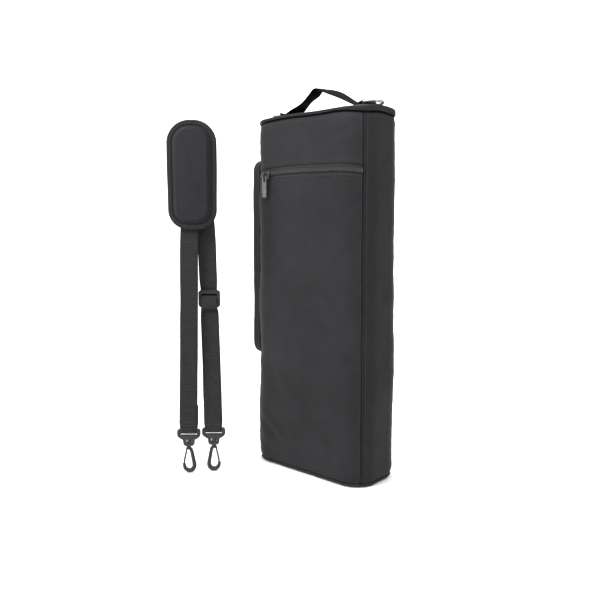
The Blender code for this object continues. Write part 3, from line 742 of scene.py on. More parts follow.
# the small turned ridge in each vertical seam
for nm, sm, node in (("front_right", S_FR, "front_right_piping"),
                     ("front_left", -S_FR, "front_left_piping"),
                     ("back_right", S_BR, "back_right_piping"),
                     ("back_left", -S_BR, "back_left_piping")):
    pts = [skin(sm + 0.0005, 0.003 + (MOUTH_Z - 0.003) * k / 180, 0.00065 + 0.00008 * math.sin(k * 1.7))
           for k in range(181)]
    t = tube(nm + "_seam_ridge", pts, 0.00062, M_PIPE, "bag", sides=8)
    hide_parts(node)


def row_along(s_list, z_fn, off, length, radius, normal_fn=None):
    """Stitches that run along the perimeter."""
    items = []
    for s in s_list:
        a, b = skin(s - 0.0004, z_fn(s), off), skin(s + 0.0004, z_fn(s), off)
        items.append((skin(s, z_fn(s), off), b - a, skin_normal(s, 0), length / 2, radius,
                      0.7))
    return items


def col_up(s_fn, z_list, off, length, radius):
    items = []
    for z in z_list:
        a, b = skin(s_fn(z), z - 0.0004, off), skin(s_fn(z), z + 0.0004, off)
        items.append((skin(s_fn(z), z, off), b - a, skin_normal(s_fn(z), z), length / 2,
                      radius, 0.7))
    return items


def steps(a, b, d):
    n = max(1, int(abs(b - a) / d))
    return [a + (b - a) * (i + 0.5) / n for i in range(n)]


ST_L, ST_R, ST_P = 0.0024, 0.00026, 0.0033
st = []
for sm, sg in ((S_FR, 1), (-S_FR, -1), (S_BR, -1), (-S_BR, 1)):
    st += col_up(lambda z, q=sm + sg * 0.0028: q, steps(0.007, 0.397, ST_P), 0.00005, ST_L, ST_R)
for sm, sg in ((S_FR, 1), (-S_FR, -1)):
    st += col_up(lambda z, q=sm - sg * 0.0030: q, steps(0.007, 0.397, ST_P), 0.00005, ST_L, ST_R)
pills("seam_topstitch", st, M_THREAD, "bag")
st = []
for zz in (-0.0092, -0.0046, 0.0072):
    st += row_along(steps(-S_FR + 0.003, S_FR - 0.003, ST_P),
                    lambda s, q=zz: zip_line(s) + q, 0.0004, ST_L, ST_R)
st += row_along(steps(0, PERIM, ST_P), lambda s: MOUTH_Z - 0.0032, 0.0001, ST_L, ST_R)
st += row_along(steps(0, PERIM, ST_P), lambda s: 0.0062, 0.0001, ST_L, ST_R)
pills("cloth_topstitch", st, M_THREAD, "bag")

# ---------------------------------------------------------------- pocket zip
def strip_on_skin(name, s0, s1, z0, z1, off, mat, body, nodes=(), thick=0.0006,
                  nv=4, du=0.002):
    nu = int((s1 - s0) / du)
    ob = sheet_grid(name, lambda u, v: skin(s0 + (s1 - s0) * u,
                                            zip_line(s0 + (s1 - s0) * u) + z0 +
                                            (z1 - z0) * v,
                                            off - 0.0003 * abs(2 * v - 1) ** 2),
                    nu, nv, mat, body, (s1 - s0, z1 - z0), thick=thick)
    if nodes:
        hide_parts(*nodes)
    return ob


strip_on_skin("pocket_zip_upper_tape", -S_FR + SG, S_FR - SG, 0.0014, 0.0064,
              -0.0004, M_TAPE, "bag", ["pocket_zip_tape_upper"])
strip_on_skin("pocket_zip_lower_tape", -S_FR + SG, S_FR - SG, -0.0046, -0.0010,
              -0.0010, M_TAPE, "bag", ["pocket_zip_tape_lower"])


def coil_row(s0, s1, side, off, pitch=0.00142, reach=0.0026, rad=0.00052,
             clear=None):
    items = []
    n = int((s1 - s0) / pitch)
    for i in range(n):
        s = s0 + (s1 - s0) * (i + (0.0 if side < 0 else 0.5)) / n
        z = zip_line(s) + side * reach * 0.36
        a = skin(s, z - 0.0006, off)
        b = skin(s, z + 0.0006, off)
        items.append((skin(s, z, off), b - a, skin_normal(s, z), reach * 0.62, rad, 0.95))
    return items


t = pills("pocket_zip_teeth", coil_row(-S_FR + 0.002, S_FR - 0.002, -1, 0.0002) +
          coil_row(-S_FR + 0.002, S_FR - 0.002, 1, 0.0002), M_TEETH, "bag")
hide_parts("pocket_zip_coil")
# woven stop at the right-hand end of the zip
pills("pocket_zip_stop", [(skin(S_FR - 0.0022, zip_line(S_FR), 0.0004), (0, 0, 1),
                           skin_normal(S_FR - 0.002, 0), 0.0022, 0.0010, 0.6)], M_TEETH,
      "bag", sides=10)

# ---------------------------------------------------------------- the lid's zip
BACK_S = PERIM / 2


def zip_s(s):
    return s


LZ0, LZ1 = BACK_S + 0.050, BACK_S + PERIM - 0.050


def rim(s, z, off=0.0):
    """Points on the mouth's edge and the lid, which sag with the mouth."""
    x, y, nx, ny = per(s)
    kx, ky = taper(TOP_Z)
    o = off - 0.0004 + 0.00025 * noise.noise(Vector((x * 30, y * 30, 2.0)))
    return Vector((x * kx + nx * o, y * ky + ny * o, z - droop(s)))


def strip_on_rim(name, s0, s1, z0, z1, off, mat, body, nodes=(), thick=0.0007, nv=4,
                 closed=False, bow=0.0):
    nu = int((s1 - s0) / 0.002)
    ob = sheet_grid(name, lambda u, v: rim(s0 + (s1 - s0) * u, z0 + (z1 - z0) * v,
                                           off + bow * math.sin(PI * v)),
                    nu, nv, mat, body, (s1 - s0, z1 - z0), thick=thick,
                    closed=closed)
    if nodes:
        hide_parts(*nodes)
    return ob


def rim_teeth(s0, s1, zc, side, pitch=0.00142, reach=0.0024, rad=0.00052):
    items = []
    n = int((s1 - s0) / pitch)
    for i in range(n):
        s = s0 + (s1 - s0) * (i + (0.0 if side < 0 else 0.5)) / n
        z = zc + side * reach * 0.40
        items.append((rim(s, z, -0.0009), (0, 0, 1), skin_normal(s, 0), reach * 0.55, rad,
                      0.95))
    return items


LZC = 0.4012
# the lid zip's tapes and teeth are near black, painted shade for the shadow gap under the lid
strip_on_rim("body_zip_tape_cloth", LZ0, LZ1, 0.3970, 0.4006, -0.0012, M_PAINTED_SHADOW, "bag",
             ["body_zip_tape"])
t = pills("body_zip_teeth", rim_teeth(LZ0 + 0.002, LZ1 - 0.002, LZC, -1), M_LIDTEETH_SHADED, "bag")
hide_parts("body_zip_coil")
t = pills("lid_zip_teeth", rim_teeth(LZ0 + 0.002, LZ1 - 0.002, LZC, 1), M_LIDTEETH_SHADED, "lid")
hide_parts("lid_zip_coil")


def strip_lid(name, z0, z1, off, mat, nodes=(), s0=0.0, s1=PERIM, bow=0.0,
              closed=False):
    nu = int((s1 - s0) / 0.002)
    ob = sheet_grid(name, lambda u, v: rim(s0 + (s1 - s0) * u, z0 + (
        z1(s0 + (s1 - s0) * u) - z0) * v, off + bow * math.sin(PI * v)), nu, 5, mat, "lid",
        (s1 - s0, 0.004), thick=0.0007, closed=closed)
    if nodes:
        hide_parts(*nodes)
    return ob


# near-black tape: painted shade in the lid zip's gap
strip_lid("lid_zip_tape_cloth", 0.4018, lambda s: 0.4034, -0.0011, M_PAINTED_SHADOW,
          s0=LZ0, s1=LZ1)


# ---------------------------------------------------------------- lid
def rim_top(s):
    """Height of the lid's turned edge: lower along the front."""
    w = wrap(s)
    if w > 0:
        return 0.4048 + 0.0034 * smooth01((w - 0.045) / 0.055)
    return 0.4048 + 0.0012 * smooth01((-w - 0.050) / 0.030) + \
        0.0022 * smooth01((-w - 0.110) / 0.060)


strip_lid("lid_edge_cloth", 0.4026, lambda s: rim_top(s) - 0.0006, 0.0007, M_SIDE_SHADED,
          ["lid_side_band"], closed=True, bow=0.0003)
# bound edge round the top of the lid
n = 260
pts = []
for k in range(n):
    s = PERIM * k / n
    p = rim(s, 0.0, 0.0000)
    pts.append((p.x, p.y, rim_top(s) - droop(s) - 0.0007))
tube("lid_edge_binding", pts, 0.0009, M_BIND, "lid", sides=10, closed=True)


def lid_top(u, v):
    s = PERIM * u
    x, y, nx, ny = per(s)
    kx, ky = taper(TOP_Z)
    k = 1 - v
    edge = rim_top(s) - droop(s) - 0.0005
    # the cloth climbs gently from its edge to the padded middle
    d = v * (x * nx + y * ny)
    e = smooth01(d / (0.012 + 0.018 * smooth01(-ny * 1.2)))
    z = edge + (0.4090 - edge) * e
    z += 0.0004 * noise.noise(Vector((x * k * 28, y * k * 28, 5))) * smooth01(v * 4)
    z -= 0.0006 * math.exp(-((v - 0.10) / 0.05) ** 2)
    return Vector(((x * kx - nx * 0.0008) * k, (y * ky - ny * 0.0008) * k, z))


ob = sheet_grid("lid_top_cloth", lid_top, 200, 26, M_SHELL, "lid", (PERIM, 0.08),
                closed=True, thick=0.0010)
plan_uv(ob)
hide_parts("lid_top_panel")


def lid_under(u, v):
    s = PERIM * u
    x, y, nx, ny = per(s)
    k = (1 - v)
    q = 0.966
    z = 0.4024 - droop(s) * k ** 5 + 0.0012 * smooth01(v * 3)
    z += 0.0003 * noise.noise(Vector((x * k * 40, y * k * 40, 9)))
    return Vector((x * k * q, y * k * q, z))


ob = sheet_grid("lid_lining_cloth", lid_under, 160, 14, M_LINING, "lid", (PERIM, 0.08),
                closed=True, flip=True, thick=0.0005)
plan_uv(ob)
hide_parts("lid_lining")
st = []
for s in steps(0, PERIM, ST_P):
    p = lid_top(s / PERIM, 0.10)
    q = lid_top((s + 0.001) / PERIM, 0.10)
    st.append((p + Vector((0, 0, 0.0001)), q - p, (0, 0, 1), ST_L / 2, ST_R, 0.7))
pills("lid_topstitch", st, M_THREAD, "lid")


def lid_foam_fn(u, v):
    p = lid_top(u, 0.03 + 0.97 * v)
    q = lid_under(u, 0.03 + 0.97 * v)
    return Vector((q.x, q.y, q.z + max(0.0004, (p.z - 0.0011) - q.z) *
                   smooth01(0.25 + v * 3)))


ob = sheet_grid("lid_foam_sheet", lid_foam_fn, 120, 12, M_FOAM, "lid", (PERIM, 0.08),
                closed=True, thick=0.0004)
plan_uv(ob)
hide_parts("lid_foam")

# cloth hinge along the back
hinge_w = 0.105
def hinge_pt(x, q, off=0.0):
    """On the hinge: x along the back, q from its lower hem to its upper one."""
    end = smooth01((hinge_w / 2 - abs(x)) / 0.006)
    stand = 0.0004 + (0.0003 + 0.0007 * math.sin(PI * q)) * end
    return rim(BACK_S - x, 0.3975 + 0.0085 * q, stand + off)


ob = sheet_grid("back_hinge_cloth", lambda u, v: hinge_pt((u - 0.5) * hinge_w, v),
                52, 10, M_BIND, "bag", (hinge_w, 0.0085), thick=0.0008, flip=True)
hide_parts("back_hinge_strip")
ob.parent = None
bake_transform(ob)

for nm, zz, bd in (("hinge_lower_stitch", 0.3986, "bag"), ("hinge_upper_stitch", 0.4052, "lid")):
    q = (zz - 0.3975) / 0.0085
    pills(nm, [(hinge_pt(x, q, 0.00005), (1, 0, 0), (0, 1, 0), ST_L / 2, ST_R, 0.7)
               for x in steps(-hinge_w / 2 + 0.002, hinge_w / 2 - 0.002, ST_P)],
          M_THREAD, bd)

# ---------------------------------------------------------------- base
n = 260
pts = [skin(PERIM * k / n, 0.0019, 0.0007) for k in range(n)]
t = tube("base_bound_edge", pts, 0.0012, M_PIPE, "bag", sides=10, closed=True)
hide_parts("base_piping")


def base_fn(u, v):
    s = PERIM * u
    p = skin(s, 0.0012, -0.0002)
    k = 1 - v
    return Vector((p.x * k, p.y * k, 0.0011 - 0.0008 * smooth01(v * 6) +
                   0.0003 * (0.5 + 0.5 * noise.noise(Vector((p.x * k * 30, p.y * k * 30, 1))))))


ob = sheet_grid("base_cloth", base_fn, 180, 16, M_SHELL, "bag", (PERIM, 0.08), closed=True,
                flip=True, thick=0.0008)
plan_uv(ob)
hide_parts("base_panel")

# ---------------------------------------------------------------- inside
lin_lo, lin_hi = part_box("lining_walls")
lcx, lcy = (lin_lo[0] + lin_hi[0]) / 2, (lin_lo[1] + lin_hi[1]) / 2
lkx, lky = (lin_hi[0] - lin_lo[0]) / (2 * HW), (lin_hi[1] - lin_lo[1]) / (2 * HD)


def lining_fn(u, v):
    s = PERIM * u
    x, y, nx, ny = per(s)
    z = 0.0082 + (0.3962 - 0.0082) * v
    d = -0.0006 + 0.0005 * noise.noise(Vector((x * 25, y * 25, z * 18)))
    kx, ky = taper(z)
    return Vector((lcx + x * lkx * kx + nx * d, lcy + y * lky * (0.5 + 0.5 * ky) + ny * d, z -
                   droop(s) * smooth01((z - 0.27) / 0.12)))


ob = sheet_grid("lining_cloth", lining_fn, 180, 90, M_LINING, "bag", (PERIM * lkx, 0.39),
                closed=True, thick=0.0005)
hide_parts("lining_walls")


def floor_fn(u, v):
    x, y, nx, ny = per(PERIM * u)
    k = 1 - v
    return Vector((lcx + x * lkx * k * 0.985, lcy + y * lky * k * 0.985,
                   0.0084 + 0.0003 * noise.noise(Vector((x * k * 50, y * k * 50, 3)))))


ob = sheet_grid("lining_floor_cloth", floor_fn, 120, 12, M_LINING, "bag", (PERIM, 0.08),
                closed=True, thick=0.0004)
plan_uv(ob)
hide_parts("lining_floor")
# binding that covers the top edge of the lining
pts = []
for k in range(220):
    s = PERIM * k / 220
    x, y, nx, ny = per(s)
    pts.append((lcx + x * lkx * 0.985, lcy + y * lky * 0.985, 0.3968 - droop(s)))
tube("mouth_binding", pts, 0.0011, M_BIND, "bag", sides=8, closed=True)
# the narrow shelf of cloth between the mouth's edge and the lining
ob = sheet_grid("mouth_facing", lambda u, v: (
    lambda o, i: o.lerp(i, v))(rim(PERIM * u, 0.3978, -0.0012),
                               Vector(pts[int(round(u * 220)) % 220])),
    220, 4, M_BIND, "bag", (PERIM, 0.004), closed=True, thick=0.0004)

# ---------------------------------------------------------------- side pocket
sp_lo, sp_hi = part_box("side_pocket_shell")
SPZ0, SPZ1 = sp_lo[2], sp_hi[2]
SPY0, SPY1 = sp_lo[1], sp_hi[1]
SP_OUT = sp_lo[0]


def pocket_fn(u, v):
    """A soft box: wall, rolled edge, then the face in to its centre line."""
    W, H = SPY1 - SPY0, SPZ1 - SPZ0
    roll = 0.0030
    depth = abs(SP_OUT) - HW + 0.0012
    if v < 0.26:
        q = v / 0.26
        inset, out = -0.0003 * math.sin(PI * q), q * (depth - roll)
    elif v < 0.46:
        a = (v - 0.26) / 0.20 * PI / 2
        inset, out = roll * (1 - math.cos(a)), depth - roll + roll * math.sin(a)
    else:
        q = (v - 0.46) / 0.54
        inset, out = roll + q * (W / 2 - roll - 0.0001), depth + 0.0005 * math.sin(PI * q / 2)
    w, h = W - 2 * inset, H - 2 * inset
    r = min(w / 2 * 0.998, max(0.0008, 0.0135 - inset))
    y, z = oblong_pt(u, w, h, r, r)
    if v > 0.999:
        y = 0.0
    y, z = y + (SPY0 + SPY1) / 2, z + (SPZ0 + SPZ1) / 2
    wr = 0.0006 * noise.noise(Vector((y * 40, z * 18, 4))) + \
        0.0003 * noise.noise(Vector((y * 110, z * 60, 8)))
    soft = smooth01(v * 4)
    near = math.exp(-((y - 0.0118) / 0.0050) ** 2) * smooth01((v - 0.4) / 0.1)
    x = -HW * taper(z)[0] + 0.0010 - out + (wr * (1 - 0.8 * near) + 0.0014 * near) * soft
    return Vector((x, y + wr * 0.6 * soft * (1 - smooth01((v - 0.3) / 0.2)), z))


ob = sheet_grid("side_pocket_cloth", pocket_fn, 260, 40, M_SIDE_SHADED, "bag", (0.52, 0.035),
                closed=True)
bm = bmesh.new()
bm.from_mesh(ob.data)
bmesh.ops.remove_doubles(bm, verts=[v for v in bm.verts if v.co.x < SP_OUT + 0.004 and
                                    abs(v.co.y) < 1e-5], dist=0.0004)
bmesh.ops.recalc_face_normals(bm, faces=bm.faces[:])
bm.to_mesh(ob.data)
bm.free()
for lp in ob.data.loops:
    co = ob.data.vertices[lp.vertex_index].co
    ob.data.uv_layers[0].data[lp.index].uv = (co.y, co.z)
sol = ob.modifiers.new("cloth_thickness", "SOLIDIFY")
sol.thickness = 0.0010
sol.offset = -1.0
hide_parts("side_pocket_shell")
# piped seam where the pocket meets the bag
pts = []
for k in range(200):
    a = 2 * PI * k / 200
    cy, cz = (SPY1 - SPY0) / 2 - 0.0085, (SPZ1 - SPZ0) / 2 - 0.013
    # walk a stadium outline by angle
    ca, sa = math.cos(a), math.sin(a)
    L = 2 * (cy + cz) * 2 + 2 * PI * 0.011
    d = L * k / 200
    segs = [("z", 1, 2 * cz), ("c", 0, PI / 2 * 0.011), ("y", -1, 2 * cy),
            ("c", 1, PI / 2 * 0.011), ("z", -1, 2 * cz), ("c", 2, PI / 2 * 0.011),
            ("y", 1, 2 * cy), ("c", 3, PI / 2 * 0.011)]
    for kind, q, ln in segs:
        if d <= ln:
            break
        d -= ln
    if kind == "z":
        y = (cy + 0.0085) * q
        z = -cz * q + d * q
    elif kind == "y":
        y = -cy * q + d * q
        z = -(cz + 0.013) * q if q > 0 else (cz + 0.013)
        z = (cz + 0.013) * (-q)
    else:
        t = d / 0.011
        if q == 0:
            y, z = cy + 0.0085 * math.cos(t), cz + 0.013 * math.sin(t)
        elif q == 1:
            y, z = -cy - 0.0085 * math.sin(t), cz + 0.013 * math.cos(t)
        elif q == 2:
            y, z = -cy - 0.0085 * math.cos(t), -cz - 0.013 * math.sin(t)
        else:
            y, z = cy + 0.0085 * math.sin(t), -cz - 0.013 * math.cos(t)
    zz = z + (SPZ0 + SPZ1) / 2
    pts.append((-HW * taper(zz)[0] - 0.0010, y + (SPY0 + SPY1) / 2, zz))
tube("side_pocket_piping", pts, 0.0012, M_PIPE, "bag", sides=8, closed=True)

zc_lo, zc_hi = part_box("side_pocket_zip_coil")
items = []
nz = int((zc_hi[2] - zc_lo[2]) / 0.00142)
for i in range(nz):
    for side in (-1, 1):
        z = zc_lo[2] + (zc_hi[2] - zc_lo[2]) * (i + (0 if side < 0 else 0.5)) / nz
        items.append(((SP_OUT + 0.0002, 0.0118 + side * 0.0009, z), (0, 1, 0), (-1, 0, 0),
                      0.0014, 0.0005, 0.95))
t = pills("side_pocket_teeth", items, M_TEETH, "bag")
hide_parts("side_pocket_zip_coil")
for side in (-1, 1):
    sheet_grid("side_pocket_tape_%s" % ("rear" if side > 0 else "front"),
               lambda u, v, q=side: Vector((SP_OUT + 0.0009 + 0.0004 * u, 0.0118 + q *
                                            (0.0012 + 0.0040 * u),
                                            zc_lo[2] - 0.002 + (zc_hi[2] - zc_lo[2] + 0.004)
                                            * v)),
               4, 60, M_TAPE, "bag", (0.004, 0.21), thick=0.0005,
               flip=side > 0)
st = []
for side in (-1, 1):
    for z in steps(zc_lo[2], zc_hi[2], ST_P):
        st.append(((SP_OUT + 0.0003, 0.0118 + side * 0.0062, z), (0, 0, 1), (-1, 0, 0),
                   ST_L / 2, ST_R, 0.7))
pills("side_pocket_topstitch", st, M_THREAD, "bag")


# =====================================================================
# webbing
# =====================================================================
def ribbon(name, centres, widths_dir, normals, width, thick, mat, body, ribs=8,
           rib_h=0.00010, across=14, rib_pitch=0.0016):
    """Webbing with a real ribbed section. centres, widths_dir, normals per step."""
    V, UV, F = [], [], []
    sec = []
    for i in range(across + 1):
        t = i / across
        edge = 1 - smooth01(abs(2 * t - 1) ** 8)
        sec.append((t - 0.5, thick / 2 * (0.55 + 0.45 * edge)))
    m = 2 * (across + 1)
    L = 0.0
    for j, (c, w, nn) in enumerate(zip(centres, widths_dir, normals)):
        if j:
            L += (c - centres[j - 1]).length
        rb = rib_h * math.sin(2 * PI * L / rib_pitch)
        for t, h in sec:
            V.append(c + w * t * width + nn * (h + rb))
            UV.append(((t + 0.5) * width, L))
        for t, h in reversed(sec):
            V.append(c + w * t * width - nn * (h + rb))
            UV.append(((t + 0.5) * width, L))
    for j in range(len(centres) - 1):
        for i in range(m):
            a = j * m + i
            b = j * m + (i + 1) % m
            F.append((a, b, b + m, a + m))
    for j in (0, len(centres) - 1):
        q = [j * m + i for i in range(m)]
        for i in range(across):
            F.append((q[i], q[i + 1], q[m - 2 - i], q[m - 1 - i]))
    ob = make(name, V, F, UV, mat, body)
    fix_normals(ob)
    return ob


# ---------------------------------------------------------------- grab handle
LTZ = 0.4093
HANDLE_W = 0.025
hp = [(-0.0640, 0.4101), (-0.0600, 0.4101), (-0.0545, 0.4104), (-0.0475, 0.4134),
      (-0.0380, 0.4186), (-0.0290, 0.4234), (-0.0210, 0.4277), (-0.0155, 0.4314),
      (-0.0118, 0.4348), (-0.0085, 0.4362), (-0.0040, 0.4357), (0.0040, 0.4333),
      (0.0144, 0.4290), (0.0260, 0.4232), (0.0360, 0.4178), (0.0440, 0.4136),
      (0.0500, 0.4109), (0.0560, 0.4101), (0.0600, 0.4101)]
cen = resample([(x, 0.0, z) for x, z in hp], 0.0004)
wd, nr = [], []
for i, c in enumerate(cen):
    a, b = cen[max(i - 1, 0)], cen[min(i + 1, len(cen) - 1)]
    t = (b - a).normalized()
    n0 = Vector((-t.z, 0, t.x))
    tw = RAD(10.0) * math.exp(-((c.x - 0.012) / 0.017) ** 2) + \
        RAD(17.0) * math.exp(-((c.x + 0.027) / 0.013) ** 2)
    w = Vector((0, 1, 0)) * math.cos(tw) + n0 * math.sin(tw)
    wd.append(w)
    nr.append(t.cross(w).normalized() * -1)
    squeeze = 1.0 - 0.22 * math.exp(-((c.x + 0.010) / 0.007) ** 2)
    wd[-1] = w * squeeze
ob = ribbon("handle_webbing", cen, wd, nr, HANDLE_W, 0.0017, M_HANDLE_SHADED, None, ribs=9)
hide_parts("grab_handle", "left_handle_foot", "right_handle_foot")
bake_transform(ob)
# box and cross stitching on the two feet
st = []
for s in (-1, 1):
    cx = s * 0.0562
    x0, x1, y0, y1 = cx - 0.0035, cx + 0.0035, -0.0100, 0.0100
    zt = 0.4101 + 0.00098
    for x in (x0, x1):
        st += [((x, y, zt), (0, 1, 0), (0, 0, 1), 0.0010, 0.00028, 0.8)
               for y in steps(y0, y1, 0.0028)]
    for y in (y0, y1):
        st += [((x, y, zt), (1, 0, 0), (0, 0, 1), 0.0010, 0.00028, 0.8)
               for x in steps(x0, x1, 0.0026)]
    for dr in (1, -1):
        for t in steps(0.1, 0.9, 0.14):
            st.append(((x0 + (x1 - x0) * t, (y0 + (y1 - y0) * t) * dr, zt),
                       (x1 - x0, (y1 - y0) * dr, 0), (0, 0, 1), 0.0010, 0.00028, 0.8))
pills("handle_foot_stitch", st, M_THREAD, "lid")

# ---------------------------------------------------------------- D-rings
for side, s in (("left", -1), ("right", 1)):
    bx, bz = s * 0.0612, LTZ + 0.0032
    loop = []
    for k in range(61):
        a = RAD(-90 + 180.0 * k / 60)
        loop.append((bx + s * (0.0035 + 0.0120 * math.cos(a)), 0.0118 * math.sin(a), bz))
    loop += [(bx + s * 0.0012, 0.0117, bz), (bx, 0.0108, bz)]
    loop += [(bx, 0.0108 - 0.0216 * k / 16, bz) for k in range(1, 16)]
    loop += [(bx, -0.0108, bz), (bx + s * 0.0012, -0.0117, bz)]
    t = tube(side + "_ring_wire", loop, 0.0015, M_RING, side + "_ring",
             sides=16, closed=True, up=(0, 0, 1))
    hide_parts(side + "_d_ring")
    # folded tab round the ring's bar
    cen, wd, nr = [], [], []
    path = [(bx - s * 0.0095, bz - 0.0022), (bx - s * 0.0050, bz - 0.0024),
            (bx, bz - 0.0023), (bx + s * 0.0021, bz - 0.0008), (bx + s * 0.0022, bz + 0.0008),
            (bx, bz + 0.0025), (bx - s * 0.0050, bz + 0.0012), (bx - s * 0.0095, bz - 0.0004)]
    cen = resample([(x, 0.0, z) for x, z in path], 0.0006)
    for i, c in enumerate(cen):
        a, b = cen[max(i - 1, 0)], cen[min(i + 1, len(cen) - 1)]
        t = (b - a).normalized()
        wd.append(Vector((0, 1, 0)))
        nr.append(Vector((-t.z, 0, t.x)))
    ob = ribbon(side + "_ring_tab_webbing", cen, wd, nr, 0.0195, 0.0013, M_WEB, "lid",
                ribs=7, rib_h=0.00007)
    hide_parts(side + "_ring_tab")
    st = [((bx - s * 0.0072, y, bz + 0.0012), (0, 1, 0), (0, 0, 1), 0.0010, 0.00028, 0.8)
          for y in steps(-0.008, 0.008, 0.0026)]
    pills(side + "_tab_stitch", st, M_THREAD, "lid")

# =====================================================================
# shoulder strap (built in its own plane, then turned into place)
# =====================================================================
YAW = RAD(42.0)
SP = Vector((-0.0905, -0.1141, 0.0))
STRAP_M = Matrix.Translation(SP) @ Matrix.Rotation(YAW, 4, 'Z')


def place(ob):
    ob.data.transform(STRAP_M)
    ob.data.update()
    return ob


X_L, X_R = -0.0124, 0.0154
Y_L, Y_R = 0.0, 0.0052
WEB_W, WEB_T = 0.019, 0.0015
web = [(Y_L + 0.0036, 0.0780), (Y_L + 0.0036, 0.0600), (Y_L + 0.0036, 0.0490),
       (Y_L + 0.0030, 0.0473), (Y_L + 0.0012, 0.0466), (Y_L - 0.0012, 0.0466),
       (Y_L - 0.0030, 0.0473), (Y_L - 0.0036, 0.0490), (Y_L - 0.0034, 0.0600),
       (Y_L - 0.0024, 0.0900)]
n_left0 = len(web)
web += [(Y_L - 0.0010, 0.0900 + 0.0290 * k) for k in range(1, 10)]
web += [(Y_L - 0.0006, 0.3750), (Y_L + 0.0002, 0.3830), (Y_L + 0.0020, 0.3862),
        (Y_L + 0.0040, 0.3862), (Y_L + 0.0058, 0.3830), (Y_L + 0.0066, 0.3750)]
n_top = len(web)
web += [(Y_R + 0.0014, 0.3510 - 0.0290 * k) for k in range(0, 9)]
web += [(Y_R - 0.0020, 0.0900), (Y_R - 0.0034, 0.0600), (Y_R - 0.0036, 0.0490),
        (Y_R - 0.0030, 0.0473), (Y_R - 0.0012, 0.0466), (Y_R + 0.0012, 0.0466),
        (Y_R + 0.0030, 0.0473), (Y_R + 0.0036, 0.0490), (Y_R + 0.0038, 0.0600),
        (Y_R + 0.0046, 0.0900), (Y_R + 0.0046, 0.1400), (Y_R + 0.0046, 0.1860)]


def web_shift(i):
    y, z = web[i]
    top = 0.386
    t = max(0.0, min(1.0, (z - 0.0452) / (0.278 - 0.0452)))
    if i < (n_left0 + n_top) / 2 + 4 and i < n_top - 3:
        low, mid = X_L, -0.0079
    else:
        low, mid = X_R, 0.0102
    if z <= 0.278:
        return low + (mid - low) * t
    return mid + (0.0015 - mid) * (z - 0.278) / (top - 0.278)


cen = resample([(web_shift(i), y, z) for i, (y, z) in enumerate(web)], 0.00045)
wd, nr = [], []
for i, c in enumerate(cen):
    a, b = cen[max(i - 1, 0)], cen[min(i + 1, len(cen) - 1)]
    t = (b - a).normalized()
    wob = 0.035 * noise.noise(Vector((c.z * 14, c.y * 400, 1)))
    w = Vector((1, wob, 0))
    w = (w - w.dot(t) * t).normalized()
    tight = 1.0 - smooth01((c.z - 0.0495) / 0.010)
    if c.y > Y_R:
        tight = max(tight, math.exp(-((c.z - 0.201) / 0.016) ** 4))
    wd.append(w * (1.075 - 0.085 * tight))
    nr.append(w.cross(t).normalized())
    k = 0.00035 * noise.noise(Vector((c.z * 22, 5, c.y * 300)))
    if 0.06 < c.z < 0.37:
        cen[i] = c + Vector((k, k * 0.6, 0))
ob = place(ribbon("strap_webbing_weave", cen, wd, nr, WEB_W, WEB_T, M_WEB, None,
                  ribs=8, rib_h=0.00017))
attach(ob, "strap")
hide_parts("strap_webbing")
st = []
for xc, yf in ((X_L, Y_L - 0.0034), (X_R, Y_R - 0.0034)):
    for zz in (0.0560, 0.0600, 0.0740):
        if xc == X_R and zz > 0.07:
            continue
        dy = (zz - 0.0600) / 0.030 * 0.0010 if zz > 0.06 else 0.0
        for x in steps(xc - 0.0078, xc + 0.0078, 0.0026):
            st.append(((x + (0.0002 if zz > 0.07 else 0), yf + dy - 0.00088, zz), (1, 0, 0),
                       (0, -1, 0), 0.0010, 0.00028, 0.8))
ob = place(pills("strap_end_stitch", st, M_THREAD, None))
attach(ob, "strap")

# ---------------------------------------------------------------- hooks
for side, cx, cy, g in (("left", X_L, Y_L, -1), ("right", X_R, Y_R, 1)):
    way = [(0.0012 * g, 0.0288), (-0.0008 * g, 0.0284), (-0.0024 * g, 0.0266),
           (-0.0034 * g, 0.0228), (-0.0043 * g, 0.0180), (-0.0053 * g, 0.0130),
           (-0.0058 * g, 0.0092), (-0.0053 * g, 0.0060), (-0.0036 * g, 0.0035),
           (-0.0010 * g, 0.0026), (0.0020 * g, 0.0029), (0.0044 * g, 0.0045),
           (0.0057 * g, 0.0070), (0.0060 * g, 0.0100)]
    pts = resample([(cx + x, cy, z) for x, z in way], 0.0006)
    ob = place(tube(side + "_hook_moulding", pts, 0.0023, M_PLASTIC, None, sides=18,
                    up=(0, 1, 0), rfun=lambda t: 0.92 + 0.22 * math.exp(-((t - 0.66) / 0.20) ** 2) -
                    0.16 * smooth01((t - 0.85) / 0.15)))
    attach(ob, side + "_hook")
    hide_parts(side + "_hook_body")
    gp = [(cx + 0.0026 * g, 0.0288), (cx + 0.0034 * g, 0.0240), (cx + 0.0049 * g, 0.0170),
          (cx + 0.0057 * g, 0.0122)]
    pts = resample([(x, cy, z) for x, z in gp], 0.0008)
    ob = place(tube(side + "_gate_moulding", pts, 0.0011, M_PLASTIC, None, sides=14,
                    up=(0, 1, 0), flat=1.0))
    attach(ob, side + "_gate")
    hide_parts(side + "_hook_gate")

